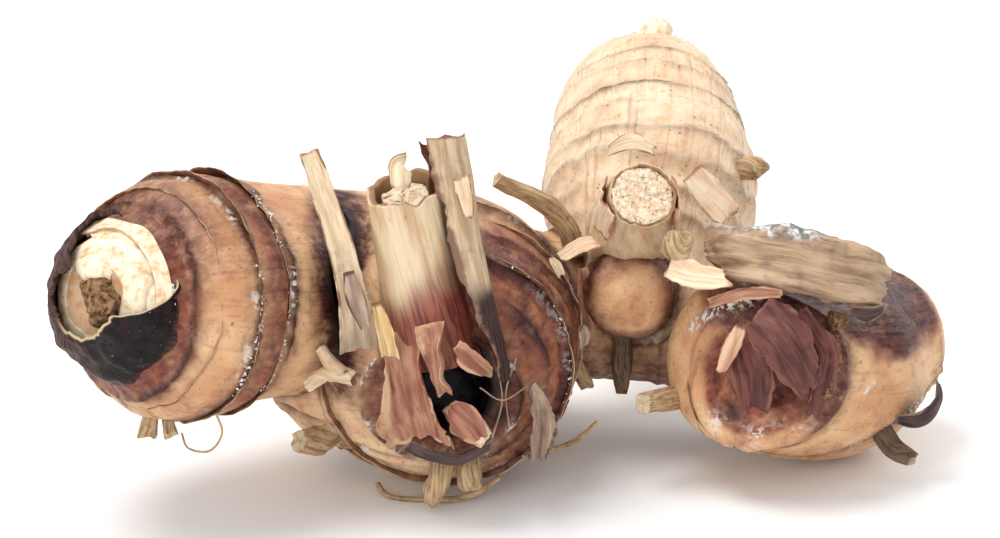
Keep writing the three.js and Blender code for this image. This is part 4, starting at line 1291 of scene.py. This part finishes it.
def scar_pieces(looks):
    """The flaps, lip, flake and crumbs on the right finger's scar."""
    flap = [[38.2, -16.4, 31.4], [42.6, -19.8, 28], [46.6, -18.6, 20]]
    inner = [[35.5, -14.5, 29], [37.5, -18.6, 23.5], [38.6, -17, 15.5]]
    fold = [[45, -14, 31], [48.8, -17.4, 24.5], [46.8, -17, 14.5]]
    lip = [[31, -12.2, 31.4], [36.4, -14.8, 33.9], [42.4, -15.2, 33.9]]
    flake = [[36, -18.6, 30.4], [34.6, -19.6, 27], [33, -19, 22.9]]
    parts = (
        ("dark", "scar_flap", flap, [5, 9, 4.4], (0.1, -1, 0.2), (0.7,)),
        ("dark", "scar_flap_inner", inner, [3.4, 6, 3], (-0.2, -1, 0.1), (1.4,)),
        ("dark", "scar_fold", fold, [3, 5, 3], (0.4, -1, 0), (1.5,)),
        ("rust", "scar_lip", lip, [1, 2, 1.4], (0, -1, 0.6), (0.6,)),
        ("flake", "scar_flake", flake, [1.6, 2.8, 1.6], (-0.3, -1, 0), (0.3,)),
    )
    flaps(
        looks, BROWN, 1400, parts, ribs=0.2, rib_gap=1.1, crumple=1.2, ragged=(0.5, 1.0), torn_sides=0.14,
        rows=70, columns=40,
    )
    crumbs = (
        ("scar_crumb_low", [[49.6, -14.8, 27.2, 1.1], [50.2, -16, 22.8, 1], [49.2, -16.6, 17.6, 1]]),
        ("scar_crumb_top", [[50, -12.6, 28.8, 1], [53, -11.4, 28.2, 0.8]]),
    )
    for number, (name, route) in enumerate(crumbs):
        grow(tube, looks["cork"], BROWN, name, route, lumps=0.8, ribs=0.4, torn=0.8, seed=1480 + number)


def roots(looks):
    """Root stubs, fibres and the bud on the rear finger."""
    stubs = (
        (0.9, "front_root_left", [
            [-8.3, -14, 9.4, 1.8], [-9, -18.2, 6, 1.8], [-10, -18.4, 3.4, 1.7], [-10.4, -17.4, 1.9, 1.5],
        ]),
        (0.9, "front_root_right", [[-4.9, -14, 9, 1.8], [-4.6, -18, 6, 1.8], [-4.4, -18.6, 3.8, 1.7]]),
        (1.5, "left_root", [[-25, -7, 11, 2], [-28, -10.5, 8.6, 2.2], [-31.6, -13.6, 10, 1.6]]),
        (1.6, "left_root_front", [
            [-52, -19, 18.5, 1.2], [-52.6, -20.4, 15.6, 1.3], [-53.2, -21.4, 12.4, 1.5],
        ]),
        (1.4, "left_root_back", [[-49.8, -17.6, 18, 1], [-50, -19, 15.4, 1.1], [-49.4, -20.4, 12.2, 1.2]]),
        (0.2, "floor_fibre", [
            [0, -14, 4, 0.5], [-4.6, -14.6, 1.2, 0.5], [-10.8, -14.6, 0.5, 0.45], [-17, -13, 0.5, 0.4],
            [-19, -9, 0.9, 0.4],
        ]),
        (0.1, "left_root_hair", [
            [-47.6, -22.8, 14.6, 0.22], [-46.4, -25.4, 13.2, 0.2], [-43, -28, 13.8, 0.2],
            [-41, -28.8, 16.8, 0.2], [-41.8, -28.6, 20, 0.18],
        ]),
        (0.5, "root_stick", [[4.5, -8.8, 5.2, 0.5], [11.2, -6.2, 6.7, 0.42], [15.3, -4.5, 9.6, 0.3]]),
        (0.9, "top_root", [
            [12, 10.5, 32.5, 1.7], [9.6, 8.6, 38.6, 1.5], [5, 5.8, 43, 1.4], [-1, 3.5, 46.6, 1.1],
        ]),
        (1.4, "ragged_root", [[12, 6.5, 15.5, 1.3], [13.4, 5.4, 12.6, 1.2], [14.2, 4.6, 11, 0.8]]),
        (0.5, "centre_root", [[19.8, 7, 22, 1.4], [19.5, 5.4, 15.6, 1.6], [19.2, 4.4, 10.6, 0.9]]),
        (0.4, "right_root_low", [[29, -3, 13.4, 1.6], [25, -7.6, 14, 1.8], [21.8, -10.5, 14.8, 1.6]]),
        (1.5, "right_root_torn", [[58.6, -3, 9, 1.5], [61.4, -6.4, 5.8, 1.5], [64.4, -8.6, 4.6, 1]]),
        (0.4, "rear_root", [[37.6, 24, 42, 1.8], [41, 22.4, 42.6, 1.8], [42.2, 21.8, 41.6, 1.2]]),
    )
    for number, (torn, name, route) in enumerate(stubs):
        look = looks["dark_root" if name in ("centre_root", "right_root_torn") else "root"]
        texture = {"ribs": 0.32, "lumps": 0.3}
        if route[0][3] < 0.6:
            texture = {"ribs": 0.05, "lumps": 0.05, "columns": 12}
        grow(tube, look, FIBRE, name, route, rib_gap=0.7, torn=torn, seed=1500 + 10 * number, **texture)
    curled = [[61, -4.4, 9.4], [65.6, -5.4, 9.6], [68.6, -3.4, 12.2], [69, -0.6, 15]]
    grow(
        sheet, looks["black"], FIBRE, "right_root_curled", curled, [2.6, 4, 3.4, 2], (-0.4, 1, 0.6),
        curls=(1.8,), ribs=0.3, crumple=0.6, ragged=(0.3, 1.2), seed=1700,
    )
    bud = [[24.4, 49, 56, 2.4], [26.2, 52.2, 58.2, 2.1], [28.2, 53.4, 57.4, 1.5]]
    grow(tube, looks["bud"], CREAM, "rear_bud", bud, lumps=0.4, torn=0.2, seed=1710)


def mould(look):
    """White mould along the ring edges of the left and middle fingers."""
    random = np.random.default_rng(1800)
    places = []
    lines = (
        (LEFT, 0.42, 20, 130, 110), (LEFT, 0.61, 60, 130, 70), (LEFT, 1.12, 70, 120, 80),
        (MIDDLE, 1.28, 30, 150, 30),
    )
    for finger, at, low, high, count in lines:
        s = at + random.normal(0, 0.009, count)
        angle = np.radians(random.uniform(low, high, count))
        places.append(over_skin(finger, s, angle, 0.35))
    keep(specks("mould_specks", np.vstack(places), 0.15, seed=1801), look, "rhizome_skin")


# --- camera and light ---------------------------------------------------------------------------


CAMERA_TILT = 18  # degrees above the table
CAMERA_DISTANCE = 0.48  # metres
CAMERA_LENS = 111.7  # focal length in millimetres
CAMERA_AIM = (0, 0, 33.0)
# Name, place in metres, width in metres and power in watts of each lamp.
LAMPS = (
    ("overhead", (-0.20, -0.02, 0.6), 0.36, 2.6),
    ("front", (-0.25, -0.62, 0.14), 0.5, 1.5),
    ("back_right", (0.45, 0.35, 0.4), 0.3, 1.0),
)
LAMP_AIM = (0, 0, 0.02)
ROOM_LIGHT = 0.82


def camera_and_light():
    """A camera in front of the root, and three lamps in a white room."""
    tilt = math.radians(CAMERA_TILT)
    aim = (np.array(CAMERA_AIM) - MIDDLE_OF_BASE) * MM
    lens = bpy.data.cameras.new("camera")
    lens.lens = CAMERA_LENS
    camera = bpy.data.objects.new("camera", lens)
    camera.location = aim + CAMERA_DISTANCE * np.array([0, -math.cos(tilt), math.sin(tilt)])
    camera.rotation_euler = (math.radians(90) - tilt, 0, 0)
    bpy.context.scene.collection.objects.link(camera)
    bpy.context.scene.camera = camera
    for name, place, size, power in LAMPS:
        lamp = bpy.data.lights.new(name, "AREA")
        lamp.shape = "DISK"
        lamp.size = size
        lamp.energy = power
        holder = bpy.data.objects.new(name, lamp)
        holder.location = place
        x, y, z = np.array(place) - np.array(LAMP_AIM)
        holder.rotation_euler = (math.atan2(math.hypot(x, y), z), 0, math.atan2(x, -y))
        bpy.context.scene.collection.objects.link(holder)
    world = bpy.data.worlds.new("white_room")
    world.use_nodes = True
    world.node_tree.nodes["Background"].inputs["Color"].default_value = (1, 1, 1, 1)
    world.node_tree.nodes["Background"].inputs["Strength"].default_value = ROOM_LIGHT
    bpy.context.scene.world = world
    bpy.context.scene.view_settings.view_transform = "Standard"


def table(look):
    """A wide white table that curves up behind the object."""
    turns = np.linspace(0, math.pi / 2, 13)
    profile = [(-2500.0, 0.0), (600.0, 0.0)]
    profile += [(600 + 400 * math.sin(turn), 400 - 400 * math.cos(turn)) for turn in turns[1:]]
    profile.append((1000.0, 1500.0))
    points = [(x, y, z) for y, z in profile for x in (-2500.0, 2500.0)]
    faces = [(2 * i, 2 * i + 1, 2 * i + 3, 2 * i + 2) for i in range(len(profile) - 1)]
    floor = make_object("table", points, faces)
    floor.location.z = -0.00002
    floor.data.materials.append(look)


# --- the whole root -----------------------------------------------------------------------------

looks = {
    "rim": leaf_material("torn_rim", "8f6a54", "5a3a31", "27120f", torn="b79a7c", rib=0.35),
    "wrap": wet_scale_material(),
    "bud": bud_material(),
    "cork": cork_material(),
    "stalk": stalk_material(),
    "cut": cut_material(),
    "straw": leaf_material("straw_leaf", "e2cfb0", "c8aa88", "8c6a50"),
    "yellow": leaf_material("yellow_leaf", "e2cb9e", "c6a069", "7e5836"),
    "grey": leaf_material("grey_leaf", "b29c88", "8d7363", "54403a"),
    # The tall sheath's inside colour is painted shade inside its roll.
    "tall": leaf_material(
        "tall_leaf", "cab497", "ae9070", "7a5c49", base=("3f2722", "150a0c"), inside="5a2a22"
    ),
    "pale": leaf_material("pale_leaf", "efd9bd", "dcb794", "a9795c"),
    "rust": leaf_material("rust_leaf", "b5866c", "8f5a46", "45201a", torn="c09a7a", rough=(0.4, 0.7)),
    "red": leaf_material("red_leaf", "a8745f", "7b4336", "341110", torn="b58a6a", rough=(0.35, 0.6)),
    "black": leaf_material("black_leaf", "5a4642", "352423", "140a0b", torn="8c7363"),
    "dark": leaf_material("dark_leaf", "74423a", "4a211d", "180808", torn="7d5040", rough=(0.35, 0.65)),
    "flake": leaf_material("flake_leaf", "d6b193", "b78a6d", "7a5040"),
    # The dried leaf's inside colour is painted shade on its underside.
    "leaf": leaf_material("dried_leaf", "bfa284", "977961", "4f392f", inside="2c1614", relief=0.2),
    "root": root_material("root", "c7aa83", "8a6b50"),
    "dark_root": root_material("dark_root", "77604c", "46352b"),
}

camera_and_light()
table(floor_material())
rhizome(skin_material())
scale_rims(looks)
left_bud(looks)
stalks(looks)
middle_sheaths(looks)
torn_hollow(looks)
centre_pieces(looks)
dried_leaf(looks)
scar_pieces(looks)
roots(looks)
mould(mould_material())
